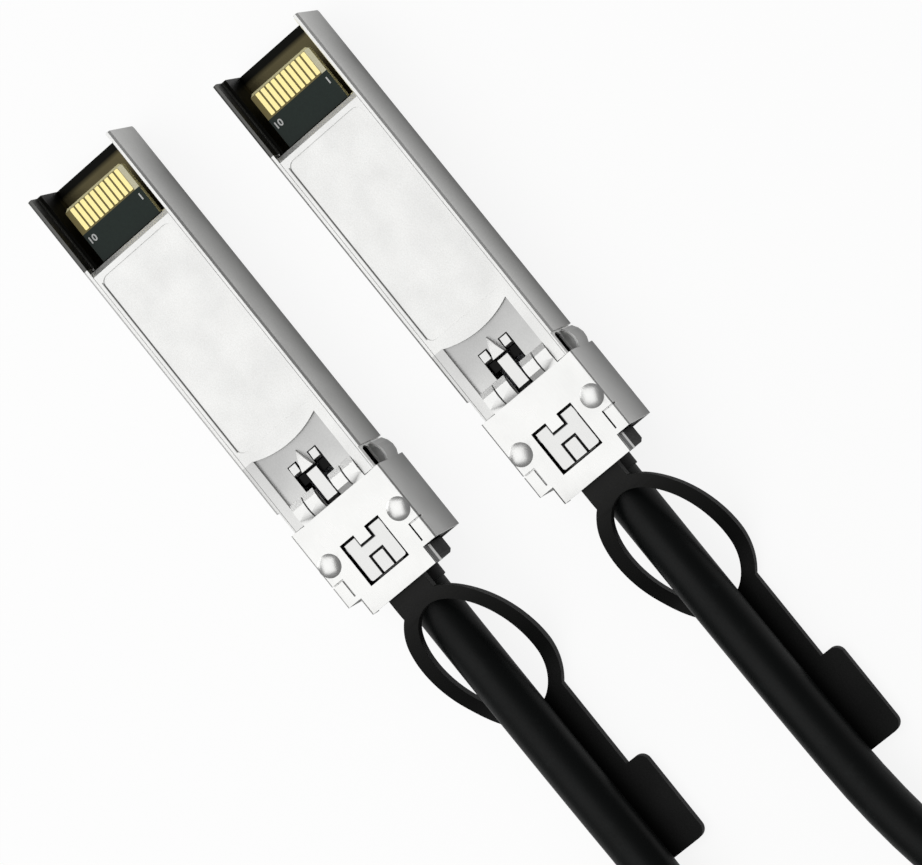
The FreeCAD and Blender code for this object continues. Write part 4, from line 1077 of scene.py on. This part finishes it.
def makeNumbers(end):
    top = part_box(end + "_paddle_card")[1].z
    for word, across in numberFacts["words"]:
        data = bpy.data.curves.new("number", "FONT")
        data.body = word
        data.size = numberFacts["height"] * numberFacts["sizePerHeight"] * mm
        data.align_x = "CENTER"
        data.extrude = numberFacts["thick"] / 2 * mm
        data.offset = numberFacts["bolder"] * mm
        text = bpy.data.objects.new("number", data)
        bpy.context.scene.collection.objects.link(text)
        bpy.context.view_layer.update()
        drawn = text.evaluated_get(bpy.context.evaluated_depsgraph_get())
        mesh = bpy.data.meshes.new_from_object(drawn)
        bpy.data.objects.remove(text)
        # the line of print runs along +Y, its top towards the end of the card
        turn = Matrix(((0, -1, 0, 0), (1, 0, 0, 0), (0, 0, 1, 0), (0, 0, 0, 1)))
        spot = places[end] + Vector((numberFacts["along"], across, 0)) * mm
        spot.z = top + numberFacts["thick"] / 2 * mm
        mesh.transform(Matrix.Translation(spot) @ turn)
        mesh.materials.append(finishes["ink"])
        piece = bpy.data.objects.new(f"{end}_number_{word}", mesh)
        bpy.context.scene.collection.objects.link(piece)
        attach(piece, "cable")


for end in ends:
    makeNumbers(end)
print("numbers printed")

# the paper shines white to the camera and is greyer in reflections, so the metal's sides keep shade
floorFacts = {
    "size": 3.0,
    "paper": 0.55,
    "mirrored": 0.62,
    "mirroredGlow": 0.5,
    "glow": 1.1,
    "glowShare": 0.8,
    "white": 0.92,
    "speckle": 40.0,
    "speckleShare": 0.01,
}


def makeFloor(facts):
    half = facts["size"] / 2
    mesh = bpy.data.meshes.new("floor")
    corners = [(-half, -half, 0), (half, -half, 0), (half, half, 0), (-half, half, 0)]
    mesh.from_pydata(corners, [], [(0, 1, 2, 3)])
    floor = bpy.data.objects.new("floor", mesh)
    bpy.context.scene.collection.objects.link(floor)
    finish = Finish("floor")
    seen = finish.make("ShaderNodeLightPath", None, None, "Is Camera Ray")
    mirrored = finish.make("ShaderNodeLightPath", None, None, "Is Glossy Ray")
    level = mirrored * (facts["mirrored"] - facts["paper"]) + facts["paper"]
    speckle = level + finish.noise(facts["speckle"], 2) * facts["speckleShare"]
    grey = finish.make("ShaderNodeCombineColor", None, {0: speckle, 1: speckle, 2: speckle})
    paper = finish.make("ShaderNodeBsdfDiffuse", None, {"Color": grey})
    pale = (facts["white"], facts["white"], facts["white"], 1)
    white = finish.make("ShaderNodeBsdfDiffuse", None, {"Color": pale})
    shine = {"Color": (1, 1, 1, 1), "Strength": facts["glow"]}
    glow = finish.make("ShaderNodeEmission", None, shine)
    lit = finish.make("ShaderNodeMixShader", None, {0: facts["glowShare"], 1: white, 2: glow})
    shown = seen + mirrored * facts["mirroredGlow"]
    mixed = finish.make("ShaderNodeMixShader", None, {0: shown, 1: paper, 2: lit})
    finish.make("ShaderNodeOutputMaterial", None, {"Surface": mixed})
    mesh.materials.append(finish.material)


# each lamp: place and aim in metres, its two sides in metres, and how bright its face is
lamps = {
    "overhead": ((-0.15, -0.30, 0.85), (0.0, 0.0, 0.0), (1.3, 1.1), 0.98),
    "left": ((-0.75, -0.70, 0.35), (0.0, 0.0, 0.0), (0.9, 0.35), 1.6),
}
surroundings = 0.18


def makeLamp(name, place, aim, sides, brightness):
    data = bpy.data.lights.new(name, "AREA")
    data.shape = "RECTANGLE"
    data.size, data.size_y = sides
    data.energy = math.pi * sides[0] * sides[1] * brightness
    lamp = bpy.data.objects.new(name, data)
    bpy.context.scene.collection.objects.link(lamp)
    lamp.location = place
    lamp.rotation_mode = "QUATERNION"
    lamp.rotation_quaternion = (Vector(aim) - Vector(place)).to_track_quat("-Z", "Y")


def makeWorld(level):
    world = bpy.data.worlds.new("studio")
    bpy.context.scene.world = world
    world.use_nodes = True
    background = world.node_tree.nodes["Background"]
    background.inputs["Color"].default_value = (1, 1, 1, 1)
    background.inputs["Strength"].default_value = level


makeFloor(floorFacts)
for name, facts in lamps.items():
    makeLamp(name, *facts)
makeWorld(surroundings)
bpy.context.scene.view_settings.view_transform = "Standard"
print("floor and lamps placed")
